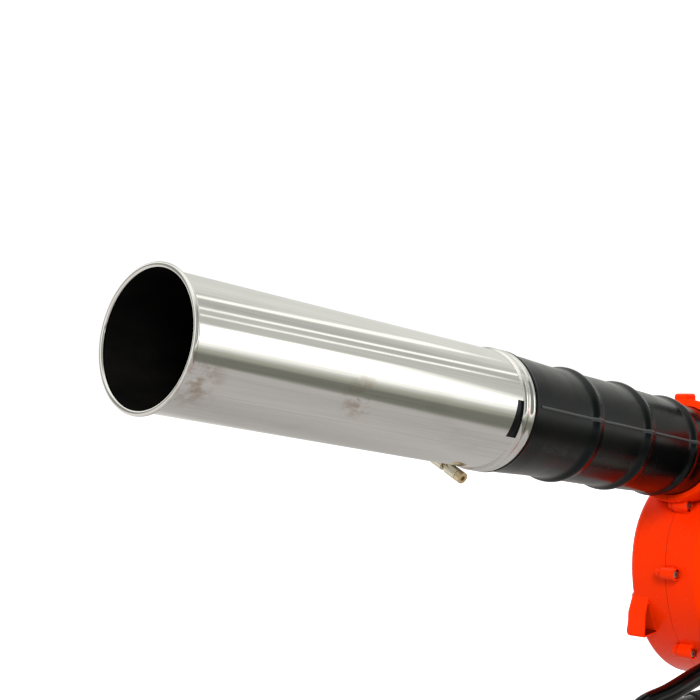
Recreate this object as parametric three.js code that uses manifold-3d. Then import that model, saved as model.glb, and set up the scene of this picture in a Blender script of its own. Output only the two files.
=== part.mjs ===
// Petrol hand blower: steel nozzle, plastic pipe, fan housing, small two-stroke engine, top handle and stand.
// Lengths are in millimetres. Work is done from the crank axis (x forward to the nozzle, y to the operator's left,
// z up) and everything is moved at the end so that the middle of the footprint on the floor is the origin.
import * as THREE from "three";
import { mergeVertices } from "three/addons/utils/BufferGeometryUtils.js";
import Module from "manifold-3d";

const wasm = await Module();
wasm.setup();

const GAP = 0.3;
const DEG = Math.PI / 180;
const FROM_CRANK = new THREE.Vector3(-247.6, -32.5, 150);

const group = new THREE.Group();
group.name = "leaf_blower";

const FINISH = {
  steel: { color: 0xb9b7b0, roughness: 0.3, metalness: 1.0 },
  zinc: { color: 0xc8c6b4, roughness: 0.38, metalness: 1.0 },
  gold_zinc: { color: 0xc79a45, roughness: 0.34, metalness: 1.0 },
  aluminium: { color: 0xa7a9aa, roughness: 0.5, metalness: 1.0 },
  black_plastic: { color: 0x1b1c1e, roughness: 0.34, metalness: 0.0 },
  orange_plastic: { color: 0xf2400a, roughness: 0.36, metalness: 0.0 },
  grey_plastic: { color: 0x55585c, roughness: 0.5, metalness: 0.0 },
  rubber: { color: 0x151515, roughness: 0.8, metalness: 0.0 },
  painted_tube: { color: 0x101113, roughness: 0.2, metalness: 0.2 },
  tank_plastic: { color: 0xe6e2d3, roughness: 0.45, metalness: 0.0 },
  foam: { color: 0x3a3d40, roughness: 0.95, metalness: 0.0 },
  ceramic: { color: 0xf1efe8, roughness: 0.3, metalness: 0.0 },
  dark_steel: { color: 0x4b4a48, roughness: 0.5, metalness: 1.0 },
  red_plastic: { color: 0xa81210, roughness: 0.42, metalness: 0.0 },
};

// ---------- helpers ----------
function signedVolume(position, index) {
  let sum = 0;
  const a = new THREE.Vector3();
  const b = new THREE.Vector3();
  const c = new THREE.Vector3();
  for (let i = 0; i < index.length; i += 3) {
    a.fromBufferAttribute(position, index[i]);
    b.fromBufferAttribute(position, index[i + 1]);
    c.fromBufferAttribute(position, index[i + 2]);
    sum += a.dot(b.cross(c));
  }
  return sum / 6;
}

function solid(geometry) {
  const plain = geometry.clone();
  plain.deleteAttribute("normal");
  plain.deleteAttribute("uv");
  const welded = mergeVertices(plain, 1e-4);
  const position = welded.attributes.position;
  const kept = [];
  const index = welded.index.array;
  for (let i = 0; i < index.length; i += 3) {
    const [p, q, r] = [index[i], index[i + 1], index[i + 2]];
    if (p !== q && q !== r && r !== p) kept.push(p, q, r);
  }
  if (signedVolume(position, kept) < 0) kept.reverse();
  const mesh = new wasm.Mesh({
    numProp: 3,
    vertProperties: new Float32Array(position.array),
    triVerts: new Uint32Array(kept),
  });
  return new wasm.Manifold(mesh);
}

const FLATNESS = 0.05;
function put(name, body, finish) {
  const mesh = body.asOriginal().simplify(FLATNESS).getMesh();
  const geometry = new THREE.BufferGeometry();
  geometry.setAttribute("position", new THREE.BufferAttribute(new Float32Array(mesh.vertProperties), 3));
  geometry.setIndex(new THREE.BufferAttribute(new Uint32Array(mesh.triVerts), 1));
  geometry.translate(FROM_CRANK.x, FROM_CRANK.y, FROM_CRANK.z);
  geometry.computeVertexNormals();
  const part = new THREE.Mesh(geometry, new THREE.MeshStandardMaterial(FINISH[finish]));
  part.name = name;
  group.add(part);
}

function joined(...bodies) {
  return bodies.reduce((sum, body) => sum.add(body));
}

function without(body, ...tools) {
  return tools.reduce((rest, tool) => rest.subtract(tool), body);
}

function block(x0, x1, y0, y1, z0, z1) {
  const geometry = new THREE.BoxGeometry(x1 - x0, y1 - y0, z1 - z0);
  geometry.translate((x0 + x1) / 2, (y0 + y1) / 2, (z0 + z1) / 2);
  return solid(geometry);
}

// A slab cut from an outline in the x-z plane, y0 to y1 thick, edges rounded by bevel.
function slab(outline, y0, y1, bevel = 0, steps = 1) {
  const geometry = new THREE.ExtrudeGeometry(outline, {
    depth: y1 - y0 - 2 * bevel,
    bevelEnabled: bevel > 0,
    bevelThickness: bevel,
    bevelSize: bevel,
    bevelOffset: -bevel,
    bevelSegments: steps,
    curveSegments: 2,
    steps: 1,
  });
  geometry.rotateX(Math.PI / 2);
  geometry.translate(0, y1 - bevel, 0);
  return solid(geometry);
}

function roundRect(u0, u1, v0, v1, r) {
  const shape = new THREE.Shape();
  shape.moveTo(u0 + r, v0);
  shape.lineTo(u1 - r, v0);
  shape.absarc(u1 - r, v0 + r, r, -Math.PI / 2, 0);
  shape.lineTo(u1, v1 - r);
  shape.absarc(u1 - r, v1 - r, r, 0, Math.PI / 2);
  shape.lineTo(u0 + r, v1);
  shape.absarc(u0 + r, v1 - r, r, Math.PI / 2, Math.PI);
  shape.lineTo(u0, v0 + r);
  shape.absarc(u0 + r, v0 + r, r, Math.PI, Math.PI * 1.5);
  return shape;
}

function cushion(x0, x1, y0, y1, z0, z1, r, bevel) {
  return slab(roundRect(x0, x1, z0, z1, r), y0, y1, bevel);
}

function lathe(profile, segments) {
  return new THREE.LatheGeometry(profile.map(([r, h]) => new THREE.Vector2(r, h)), segments);
}

// Turned about a line parallel to Y through (x, z); profile is [radius, y].
function turnedY(profile, x = 0, z = 0, segments = 20) {
  const geometry = lathe(profile, segments);
  geometry.translate(x, 0, z);
  return solid(geometry);
}

function ringY(r0, r1, y0, y1, x = 0, z = 0, segments = 20) {
  return turnedY([[r0, y0], [r1, y0], [r1, y1], [r0, y1], [r0, y0]], x, z, segments);
}

function discY(r, y0, y1, x = 0, z = 0, segments = 20) {
  return turnedY([[0, y0], [r, y0], [r, y1], [0, y1]], x, z, segments);
}

function turnedZ(profile, x, y, segments = 14) {
  const geometry = lathe(profile, segments);
  geometry.rotateX(Math.PI / 2);
  geometry.translate(x, y, 0);
  return solid(geometry);
}

function turnedX(profile, y, z, segments = 14) {
  const geometry = lathe(profile, segments);
  geometry.rotateZ(-Math.PI / 2);
  geometry.translate(0, y, z);
  return solid(geometry);
}

// A round bar bent along a smooth line through the given points.
function bentRod(points, radius, steps, sides) {
  const section = new THREE.Shape();
  section.absarc(0, 0, radius, 0, Math.PI * 2);
  const path = new THREE.CatmullRomCurve3(points.map((p) => new THREE.Vector3(...p)), false, "centripetal");
  const geometry = new THREE.ExtrudeGeometry(section, {
    steps,
    curveSegments: sides,
    extrudePath: path,
    bevelEnabled: false,
  });
  return solid(geometry);
}

// ---------- nozzle and pipe: one line pitched up toward the mouth ----------
const MOUTH = new THREE.Vector3(648.5, 0, 199.6);
const PITCH = 9.27 * DEG;
const ALONG = new THREE.Vector3(-Math.cos(PITCH), 0, -Math.sin(PITCH));
const DOWN = new THREE.Vector3(Math.sin(PITCH), 0, -Math.cos(PITCH));
const NEAR = new THREE.Vector3(0, 1, 0);
const PIPE_FRAME = new THREE.Matrix4().makeBasis(NEAR, DOWN, ALONG).setPosition(MOUTH);

// Turned about the pipe line; profile is [radius, distance from the mouth].
function turnedOnPipe(profile, segments) {
  const geometry = lathe(profile, segments);
  geometry.rotateX(Math.PI / 2);
  geometry.applyMatrix4(PIPE_FRAME);
  return solid(geometry);
}

function arcWindow(r0, r1, from, to, t0, t1) {
  const shape = new THREE.Shape();
  const steps = 6;
  for (let i = 0; i <= steps; i += 1) {
    const a = (from + ((to - from) * i) / steps) * DEG;
    if (i === 0) shape.moveTo(r1 * Math.sin(a), r1 * Math.cos(a));
    else shape.lineTo(r1 * Math.sin(a), r1 * Math.cos(a));
  }
  for (let i = steps; i >= 0; i -= 1) {
    const a = (from + ((to - from) * i) / steps) * DEG;
    shape.lineTo(r0 * Math.sin(a), r0 * Math.cos(a));
  }
  const geometry = new THREE.ExtrudeGeometry(shape, { depth: t1 - t0, bevelEnabled: false });
  geometry.translate(0, 0, t0);
  geometry.applyMatrix4(PIPE_FRAME);
  return solid(geometry);
}

const TUBE_R = 45;
const TUBE_IN = 44.2;
const TUBE_END = 326;
const BEAD_R = 46.6;
const nozzle = turnedOnPipe([
  [TUBE_IN, 0], [47.6, 0], [48.4, 1.3], [47.6, 2.6], [TUBE_R, 3.2],
  [TUBE_R, 312.6], [BEAD_R, 314.2], [BEAD_R, 317.6], [45.5, 319], [45.5, 321],
  [BEAD_R, 322.4], [BEAD_R, 325], [45.4, TUBE_END], [TUBE_IN, TUBE_END], [TUBE_IN, 0],
], 32);
const slots = [arcWindow(42, 50, 62, 98, 306.5, 313), arcWindow(42, 50, -118, -82, 306.5, 313)];
const CLAMP_ANGLE = -25;
const slit = arcWindow(42, 50, CLAMP_ANGLE - 2, CLAMP_ANGLE + 2, 288, TUBE_END + 2);
put("nozzle_tube", without(nozzle, ...slots, slit), "steel");

// Pinch clamp: bolt line runs across the slit, tangent to the tube.
const CLAMP_T = 310;
const BARREL_R = 4.5;
const CLAMP_LINE = TUBE_R + BARREL_R + GAP;
const outward = DOWN.clone().multiplyScalar(Math.cos(CLAMP_ANGLE * DEG));
outward.addScaledVector(NEAR, Math.sin(CLAMP_ANGLE * DEG));
const across = DOWN.clone().multiplyScalar(-Math.sin(CLAMP_ANGLE * DEG));
across.addScaledVector(NEAR, Math.cos(CLAMP_ANGLE * DEG));
const clampCentre = MOUTH.clone().addScaledVector(ALONG, CLAMP_T).addScaledVector(outward, CLAMP_LINE);
const clampFrame = new THREE.Matrix4().makeBasis(ALONG, across, new THREE.Vector3().crossVectors(ALONG, across));
clampFrame.setPosition(clampCentre);

function turnedOnClamp(profile, segments = 16) {
  const geometry = lathe(profile, segments);
  geometry.applyMatrix4(clampFrame);
  return solid(geometry);
}
const BOLT_R = 2;
const barrel = (a, b) => turnedOnClamp([[BOLT_R + GAP, a], [BARREL_R, a], [BARREL_R, b], [BOLT_R + GAP, b],
  [BOLT_R + GAP, a]], 20);
put("clamp_barrel_near", barrel(2, 14), "zinc");
put("clamp_barrel_far", barrel(-14, -2), "zinc");
const boltHead = turnedOnClamp([[0, -20], [BOLT_R, -20], [BOLT_R, 14.3], [BARREL_R, 14.3], [BARREL_R, 19],
  [4, 19.6], [0, 19.6]], 20);
put("clamp_bolt", without(boltHead, turnedOnClamp([[0, 16.5], [2.2, 16.5], [2.2, 22], [0, 22]], 6)), "gold_zinc");
const NUT_BORE = (BOLT_R + GAP) / Math.cos(30 * DEG);
put("clamp_nut", turnedOnClamp([[NUT_BORE, -18.3], [4.6, -18.3], [4.6, -14.3], [NUT_BORE, -14.3], [NUT_BORE, -18.3]], 6), "zinc");

// Plastic pipe: spigot inside the steel tube, proud lip, long taper, three ring ribs.
const RIBS = [407, 477, 545];
const RIB_RISE = 2.6;
const RIB_HALF = 3.2;
const taper = [[330.6, 45.1], [348, 44.8], [380, 43.4], [450, 42.8], [510, 41.4], [545, 40.2], [570, 39.1],
  [600, 38.5], [640, 38.5]];
function pipeRadius(t) {
  for (let i = 1; i < taper.length; i += 1) {
    const [t0, r0] = taper[i - 1];
    const [t1, r1] = taper[i];
    if (t <= t1) return r0 + ((r1 - r0) * (t - t0)) / (t1 - t0);
  }
  return taper[taper.length - 1][1];
}
const pipeOuter = [[43.7, 252], [43.9, 256], [43.9, 326.4], [46.2, 326.4], [46.6, 328.4], [46.2, 330.2]];
const PIPE_END = 628;
const stations = [330.6, 348, 380, 450, 510, 570, 600, PIPE_END];
for (const rib of RIBS) stations.push(rib - RIB_HALF, rib - 1.4, rib + 1.4, rib + RIB_HALF);
stations.sort((a, b) => a - b);
for (const t of stations) {
  const onRib = RIBS.some((rib) => Math.abs(t - rib) < RIB_HALF - 0.5);
  pipeOuter.push([pipeRadius(t) + (onRib ? RIB_RISE : 0), t]);
}
const pipeProfile = [...pipeOuter, [36.3, PIPE_END], [38.6, 510], [41.4, 340], [41.6, 252], [43.7, 252]];
const FAN_SWEEP_R = 83;
put("blower_pipe", without(turnedOnPipe(pipeProfile, 26), discY(FAN_SWEEP_R, -60, 60)), "black_plastic");

// ---------- fan housing ----------
const FAR_Y = -38;
const NEAR_Y = 34;
const WALL = 3;
const TONGUE = 45;
function scrollRadius(wrap) {
  const cheek = 3.4 * Math.exp(-(((wrap - 20) / 25) ** 2));
  return 92 + cheek + 47 * (wrap / 315) ** 2.2;
}
// Outline of the scroll with its straight run to the outlet; offset grows or shrinks it.
function scrollOutline(offset) {
  const shape = new THREE.Shape();
  const steps = 30;
  for (let i = 0; i <= steps; i += 1) {
    const wrap = (315 * i) / steps;
    const a = (TONGUE - wrap) * DEG;
    const r = scrollRadius(wrap) + offset;
    if (i === 0) shape.moveTo(r * Math.cos(a), r * Math.sin(a));
    else shape.lineTo(r * Math.cos(a), r * Math.sin(a));
  }
  const reach = 42 + offset;
  shape.lineTo(reach, scrollRadius(315) + offset + reach * Math.tan(PITCH) - 2);
  shape.lineTo(reach + 16, 82);
  return shape;
}
const outlet = turnedOnPipe([[0, 560], [45.5, 560], [45.5, 640], [42, 664], [33, 690], [0, 704]], 30);
const duct = turnedOnPipe([[0, 555], [39.4, 555], [39.4, 640], [36, 662], [29, 684], [0, 696]], 30);
const lug = slab(roundRect(17.7, 33.7, 118, 153.5, 3), -32, -19, 1.5);
const wedgeShape = new THREE.Shape();
const polar = (r, degrees) => [r * Math.cos(degrees * DEG), r * Math.sin(degrees * DEG)];
wedgeShape.moveTo(...polar(91, -11));
wedgeShape.lineTo(...polar(103, -19.5));
wedgeShape.lineTo(...polar(112.8, -29.4));
wedgeShape.lineTo(...polar(88, -36));
wedgeShape.lineTo(...polar(86, -14));
const wedge = slab(wedgeShape, FAR_Y, -19, 1.2, 1);
const BOSS_ANGLES = [37, 1.5, -43, -90, -138, -186];
const BOSS_R = 5.6;
const bossCentres = BOSS_ANGLES.map((angle) => polar(scrollRadius(TONGUE - angle) + 4.2, angle));
let shell = joined(slab(scrollOutline(0), FAR_Y, NEAR_Y, 7, 2), outlet, lug, wedge);
for (const [x, z] of bossCentres) shell = shell.add(discY(BOSS_R, -5, 14, x, z, 12));
let hollow = slab(scrollOutline(-WALL), FAR_Y + WALL, NEAR_Y - WALL, 4, 1).add(duct);
const INTAKE_R = 46;
const SHAFT_HOLE_R = 12;
const slant = new THREE.BoxGeometry(120, 140, 260);
slant.translate(60, 0, 0);
slant.rotateY(-(Math.atan(0.54) - PITCH));
const slantAt = MOUTH.clone().addScaledVector(ALONG, 571).addScaledVector(DOWN, 45.5);
slant.translate(slantAt.x, 0, slantAt.z);
const ahead = solid(slant).intersect(block(20, 300, -80, 80, slantAt.z - 1, 260));
shell = without(shell, hollow, ahead, discY(INTAKE_R, FAR_Y - 5, FAR_Y + 8), discY(SHAFT_HOLE_R, 20, NEAR_Y + 5));
const SCREW_R = 1.9;
const HEAD_R = 3.5;
for (const [x, z] of bossCentres) {
  shell = shell.subtract(discY(SCREW_R + GAP, -20, 20, x, z, 8)).subtract(discY(HEAD_R + 0.4, 11, 20, x, z, 10));
}
put("volute_far_half", shell.intersect(block(-300, 300, -100, -GAP / 2, -200, 300)), "orange_plastic");
put("volute_near_half", shell.intersect(block(-300, 300, GAP / 2, 100, -200, 300)), "orange_plastic");
bossCentres.forEach(([x, z], i) => {
  const screw = turnedY([[0, -4.6], [SCREW_R, -4.6], [SCREW_R, 11.3], [HEAD_R, 11.3], [HEAD_R, 13.2], [2.4, 14],
    [0, 14]], x, z, 10);
  put(`volute_screw_${i + 1}`, screw, "dark_steel");
});

// Intake grille: hub, two rings and a rim tied by spokes.
let grille = joined(
  ringY(50, 60, FAR_Y - 7, FAR_Y - GAP, 0, 0, 24),
  ringY(36, 39, FAR_Y - 6.5, FAR_Y - 3, 0, 0, 16),
  ringY(23, 26, FAR_Y - 6.5, FAR_Y - 3, 0, 0, 12),
  discY(12, FAR_Y - 7.5, FAR_Y - 3, 0, 0, 12),
);
for (let i = 0; i < 6; i += 1) {
  const spoke = new THREE.BoxGeometry(46, 3, 3);
  spoke.translate(31, FAR_Y - 4.8, 0);
  spoke.rotateY((i * Math.PI) / 3);
  grille = grille.add(solid(spoke));
}
put("intake_grille", grille, "black_plastic");

// ---------- everything that turns with the crank ----------
const SHAFT_R = 7;
const SHAFT_END = 112;
put("crankshaft", discY(SHAFT_R, -24, SHAFT_END, 0, 0, 20), "dark_steel");
let impeller = joined(ringY(SHAFT_R + GAP, 78, 20, 23, 0, 0, 24), ringY(SHAFT_R + GAP, 14, -22, 23, 0, 0, 20));
for (let i = 0; i < 10; i += 1) {
  const blade = new THREE.BoxGeometry(46, 46, 2.2);
  blade.rotateY(25 * DEG);
  blade.translate(53, -2, 0);
  blade.rotateY((i * Math.PI) / 5);
  impeller = impeller.add(solid(blade));
}
put("impeller", impeller, "black_plastic");
let flywheel = joined(ringY(SHAFT_R + GAP, 40, 44, 54, 0, 0, 24), ringY(SHAFT_R + GAP, 13, 40, 54, 0, 0, 20));
for (let i = 0; i < 8; i += 1) {
  const fin = new THREE.BoxGeometry(16, 6, 2);
  fin.translate(29, 42, 0);
  fin.rotateY((i * Math.PI) / 4);
  flywheel = flywheel.add(solid(fin));
}
put("flywheel", flywheel, "aluminium");
put("starter_cup", ringY(SHAFT_R + GAP, 18, 105.5, 111, 0, 0, 24), "zinc");

// ---------- engine ----------
const bellWall = turnedY([[12, 57], [46, 57], [46, NEAR_Y + GAP], [49, NEAR_Y + GAP], [49, 59.7], [12, 59.7],
  [12, 57]], 0, 0, 24);
put("flywheel_housing", without(bellWall, block(-21, 21, 39, 55.6, 36, 60), block(-32, 32, 55, 62, 30, 60)), "black_plastic");
const caseTop = 31;
const crankcase = joined(cushion(-32, 32, 60, 104, -38, 10, 14, 3), block(-26, 26, 62, 102, 0, caseTop));
put("crankcase", crankcase.subtract(discY(SHAFT_R + GAP, 55, 110)), "aluminium");

const CYL_Y = 82;
let cylinder = turnedZ([[0, caseTop + GAP], [21, caseTop + GAP], [21, 96], [15, 104], [0, 104]], 0, CYL_Y, 20);
for (let i = 0; i < 6; i += 1) {
  const z = 46 + i * 9.4;
  const half = i > 4 ? 23 : 26;
  cylinder = cylinder.add(block(-half - 4, half + 4, CYL_Y - half, CYL_Y + half, z, z + 3));
}
cylinder = joined(cylinder, block(-30, -20, 70, 94, 52, 78), block(20, 30, 70, 94, 52, 78));
put("cylinder", cylinder.subtract(turnedZ([[0, 92], [5.4, 92], [5.4, 110], [0, 110]], 0, CYL_Y, 16)), "aluminium");
put("spark_plug", joined(
  turnedZ([[0, 93], [5, 93], [5, 104.4], [7, 104.4], [7, 106], [4.4, 112], [4.4, 122], [2.6, 124], [2.6, 129],
    [0, 129]], 0, CYL_Y, 16),
  turnedZ([[0, 105], [9, 105], [9, 111], [0, 111]], 0, CYL_Y, 6),
), "ceramic");
const bootUp = turnedZ([[0, 114], [8.5, 114], [8.5, 134], [6, 138], [0, 138]], 0, CYL_Y, 16);
const bootBack = turnedY([[0, 60], [5, 60], [6, 66], [6, 82], [0, 82]], 0, 131, 16);
const plugRoom = turnedZ([[0, 100], [4.8, 100], [4.8, 124.4], [3, 124.4], [3, 129.5], [0, 129.5]], 0, CYL_Y, 16);
put("spark_plug_boot", without(bootUp.add(bootBack), plugRoom), "rubber");
put("ignition_coil", joined(
  cushion(-18, 18, 43, 54, 49, 66, 3, 1), block(-18, -10, 44, 53, 41, 52), block(10, 18, 44, 53, 41, 52),
), "black_plastic");
put("ignition_lead", bentRod([[0, 47, 66.4], [0, 46.5, 84], [0, 46, 112], [0, 49, 128], [0, 54, 131], [0, 59.6, 131]],
  2.6, 12, 3), "rubber");

const muffler = cushion(36, 80, 60, 104, 42, 96, 8, 5);
put("muffler", joined(muffler, block(30 + GAP, 40, 70, 94, 52, 78), turnedX([[0, 78], [5, 78], [5, 84], [0, 84]],
  92, 84, 16)), "dark_steel");
let guard = without(cushion(35, 92, 54, 111, 34, 103, 8, 3), block(30, 89.5, 57, 108, 37, 100));
for (let i = 0; i < 5; i += 1) {
  const z = 43 + i * 11;
  guard = guard.subtract(block(80, 100, 63, 102, z, z + 6));
  guard = guard.subtract(block(46, 80, 100, 120, z, z + 6));
}
for (let i = 0; i < 4; i += 1) guard = guard.subtract(block(45 + i * 10, 51 + i * 10, 63, 102, 95, 110));
put("muffler_guard", guard, "black_plastic");

put("insulator", cushion(-42, -30 - GAP, 69, 95, 51, 79, 4, 1), "red_plastic");
const carbBody = joined(cushion(-75, -42 - GAP, 68, 98, 48, 82, 4, 1.5), cushion(-70, -48, 74, 92, 44, 50, 3, 1));
const PRIMER = [-58, 60];
put("carburettor", without(carbBody, discY(9.3, 93, 100, ...PRIMER), turnedX([[0, -80], [8, -80], [8, -50], [0, -50]], 82, 68, 20)), "aluminium");
put("primer_bulb", turnedY([[0, 97], [8.6, 97], [8.6, 100.4], [7.4, 104], [4.4, 107.4], [0, 108.4]],
  ...PRIMER), "rubber");
put("choke_lever", joined(discY(5, 98 + GAP, 102, -54, 76, 16), slab(roundRect(-56.5, -51.5, 76, 100, 2.4),
  98 + GAP, 101.6, 0.6, 1)), "grey_plastic");
put("filter_base", without(cushion(-81, -75 - GAP, 52, 112, 34, 100, 2.4, 1), turnedX([[0, -90], [9, -90], [9, -70],
  [0, -70]], 82, 68, 20)), "black_plastic");
put("filter_element", cushion(-98, -81 - GAP, 57, 107, 39, 95, 6, 2), "foam");
const coverShell = without(cushion(-108, -81 - GAP, 52, 112, 34, 100, 8, 4),
  block(-103, -80, 55.5, 108.5, 37.5, 96.5), turnedX([[0, -115], [3.4, -115], [3.4, -100], [0, -100]], 82, 67, 12));
put("filter_cover", coverShell, "orange_plastic");
put("filter_knob", joined(turnedX([[0, -117], [8, -117], [9, -115], [9, -109], [6, -108 - GAP], [3, -108 - GAP],
  [3, -100], [0, -100]], 82, 67, 20), block(-120, -115, 80.4, 83.6, 60, 74)), "black_plastic");

// Recoil starter on the near side.
const starterShell = turnedY([[41.5, 104 + GAP], [44, 104 + GAP], [44, 122], [39, 129], [0, 131], [0, 128.3],
  [38, 126.4], [41.5, 121], [41.5, 104 + GAP]], 0, 0, 24);
const POST_R = 4;
let starter = starterShell.add(discY(POST_R, 113, 130, 0, 0, 16));
for (let i = 0; i < 8; i += 1) {
  const slot = new THREE.BoxGeometry(16, 12, 4.6);
  slot.translate(27, 128, 0);
  slot.rotateY((i * Math.PI) / 4);
  starter = starter.subtract(solid(slot));
}
starter = starter.add(block(-44, -33, 104.6, 110, -8, 8)).add(block(33, 44, 104.6, 110, -8, 8));
starter = starter.subtract(turnedZ([[0, 36], [2.4, 36], [2.4, 48], [0, 48]], 0, 117, 12));
put("starter_housing", starter, "orange_plastic");
put("starter_pulley", turnedY([[POST_R + GAP, 113], [24, 113], [24, 115], [20, 116], [20, 118], [24, 119], [24, 121],
  [POST_R + GAP, 121], [POST_R + GAP, 113]], 0, 0, 20), "grey_plastic");
put("starter_handle", joined(cushion(-20, 20, 112, 122, 49, 61, 5.5, 3), turnedZ([[0, 44 + GAP], [4.5, 44 + GAP],
  [5.5, 50], [0, 50]], 0, 117, 16)), "black_plastic");

let hood = without(cushion(-35, 33.5, 51, 111, 98, 146, 12, 5), block(-32, 30.5, 54, 108, 90, 141),
  block(-5, 5, 40, 60, 120, 137));
for (let i = 0; i < 5; i += 1) hood = hood.subtract(block(-25 + i * 11, -20 + i * 11, 66, 98, 130, 150));
put("cylinder_cover", hood, "orange_plastic");

// ---------- fuel ----------
const TANK_NECK = [-52, -78];
let tank = without(cushion(-85, 46, 50, 118, -118, -50, 14, 8), cushion(-82, 43, 53, 115, -115, -53, 11, 6));
tank = tank.add(discY(15, 114, 122, ...TANK_NECK, 24)).subtract(discY(12, 100, 130, ...TANK_NECK, 24));
put("fuel_tank", tank, "tank_plastic");
let cap = turnedY([[15 + GAP, 118.6], [19, 118.6], [19, 130], [17, 132], [0, 132], [0, 122 + GAP],
  [15 + GAP, 122 + GAP], [15 + GAP, 118.6]], ...TANK_NECK, 24);
cap = cap.add(block(TANK_NECK[0] - 15, TANK_NECK[0] + 15, 131, 137, TANK_NECK[1] - 2, TANK_NECK[1] + 2));
put("fuel_cap", cap, "black_plastic");
put("fuel_line", bentRod([[-60, 84, -49.6], [-60, 84, -42], [-64, 92, -20], [-62, 92, 15], [-59, 83, 36], [-59, 83, 43.6]], 2.4, 12, 3), "rubber");

// ---------- top handle and controls ----------
const HANDLE_Y0 = 6;
const HANDLE_Y1 = 36;
const handleLine = (points) => new THREE.CatmullRomCurve3(
  points.map(([x, z]) => new THREE.Vector3(x, z, 0)), true, "centripetal");
const outerRing = handleLine([[24, 118], [32, 150], [30, 186], [16, 216], [-14, 232], [-78, 234], [-128, 222],
  [-156, 190], [-160, 146], [-146, 100], [-120, 66], [-90, 78], [-60, 112], [-20, 120]]);
const fingerGap = handleLine([[2, 172], [-8, 196], [-34, 204], [-80, 206], [-112, 198], [-130, 174], [-128, 156],
  [-84, 150], [-20, 154]]);
const ringShape = new THREE.Shape(outerRing.getPoints(40).map((p) => new THREE.Vector2(p.x, p.y)));
ringShape.holes.push(new THREE.Path(fingerGap.getPoints(28).map((p) => new THREE.Vector2(p.x, p.y))));
const seat = slab(scrollOutline(GAP + 0.1), FAR_Y - 1, NEAR_Y + 0.4);
const outletSeat = turnedOnPipe([[0, 560], [46, 560], [46, 640], [42.5, 664], [33.5, 691], [0, 706]], 36);
let handle = slab(ringShape, HANDLE_Y0, HANDLE_Y1, 6, 2);
const SLOT_Y0 = 15;
const SLOT_Y1 = 27;
const handleSide = block(-170, 60, NEAR_Y, HANDLE_Y1 + 5, 40, 142);
handle = without(handle, seat, outletSeat, handleSide, block(-64, -6, SLOT_Y0, SLOT_Y1, 190, 225),
  discY(5.3, 26, 40, 14, 186, 16));
put("top_handle", handle, "black_plastic");
const triggerLine = handleLine([[-12, 212], [-10, 203], [-20, 194], [-36, 190], [-54, 189], [-60, 194], [-50, 200],
  [-30, 208], [-20, 215]]);
const triggerShape = new THREE.Shape(triggerLine.getPoints(18).map((p) => new THREE.Vector2(p.x, p.y)));
put("throttle_trigger", slab(triggerShape, SLOT_Y0 + 0.6, SLOT_Y1 - 0.6, 1.5, 2), "grey_plastic");
put("cruise_lever", joined(discY(6, HANDLE_Y1 + GAP, HANDLE_Y1 + 4, -8, 214, 18), slab(roundRect(-11, -5, 214, 240, 2.8),
  HANDLE_Y1 + GAP, HANDLE_Y1 + 3.6, 1, 1)), "grey_plastic");
put("stop_switch", discY(5, 31, 39, 14, 186, 18), "red_plastic");
put("throttle_cable", bentRod([[-70, 39, 152], [-72, 46, 146], [-68, 66, 124], [-60, 80, 102], [-59, 82, 82.8]],
  2.2, 14, 3), "rubber");

// ---------- stand ----------
const STAND_R = 8;
const FLOOR_Z = -140;
const standLine = [
  [60, 52, -64], [103, 40, -77.5], [144, 38, -87], [176, 35, -93], [196, 33, -105], [204, 31, -125], [206, 20, -138],
  [206, 0, FLOOR_Z], [206, -30, FLOOR_Z], [196, -54, FLOOR_Z], [172, -62, FLOOR_Z], [100, -62, FLOOR_Z],
  [0, -62, FLOOR_Z], [-84, -62, FLOOR_Z], [-108, -54, FLOOR_Z], [-118, -30, FLOOR_Z], [-118, 20, FLOOR_Z],
  [-118, 80, FLOOR_Z], [-118, 108, -137], [-117, 120, -118], [-112, 112, -94], [-104, 92, -82], [-100, 76, -80],
];
put("stand_tube", bentRod(standLine, STAND_R, 64, 4), "painted_tube");
const standFit = bentRod(standLine, STAND_R + GAP + 0.1, 64, 4);
const frontArm = joined(cushion(50, 76, 40, 64, -78, -46, 5, 2), cushion(30, 60, 38, 58, -56, -30, 5, 2));
put("bracket_front", without(frontArm, standFit, discY(50.2, 30, 62), block(20, 48, 49, 70, -80, -49.6)),
  "black_plastic");
put("bracket_rear", without(cushion(-114, -85 - GAP, 62, 96, -96, -66, 5, 2), standFit), "black_plastic");
// Rubber sleeves on the stand, with a flat sole on the floor.
const SOLE_Z = -150;
function foot(name, along, x0, x1, y0, y1) {
  const half = STAND_R + 3;
  const body = along === "x" ? turnedX([[0, x0], [half, x0], [half, x1], [0, x1]], y0, FLOOR_Z, 20)
    : turnedY([[0, y0], [half, y0], [half, y1], [0, y1]], x0, FLOOR_Z, 20);
  put(name, without(body, standFit, block(x0 - 40, x1 + 40, y0 - 40, y1 + 40, SOLE_Z - 20, SOLE_Z)), "rubber");
}
foot("rubber_foot_front", "y", 206, 206, -26, -4);
foot("rubber_foot_rear", "y", -118, -118, 40, 70);
foot("rubber_foot_side_front", "x", 120, 150, -62, -62);
foot("rubber_foot_side_rear", "x", -70, -40, -62, -62);

export default group;
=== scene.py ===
import math

import bmesh
import bpy
import numpy as np
from mathutils import Matrix, Vector


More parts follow.
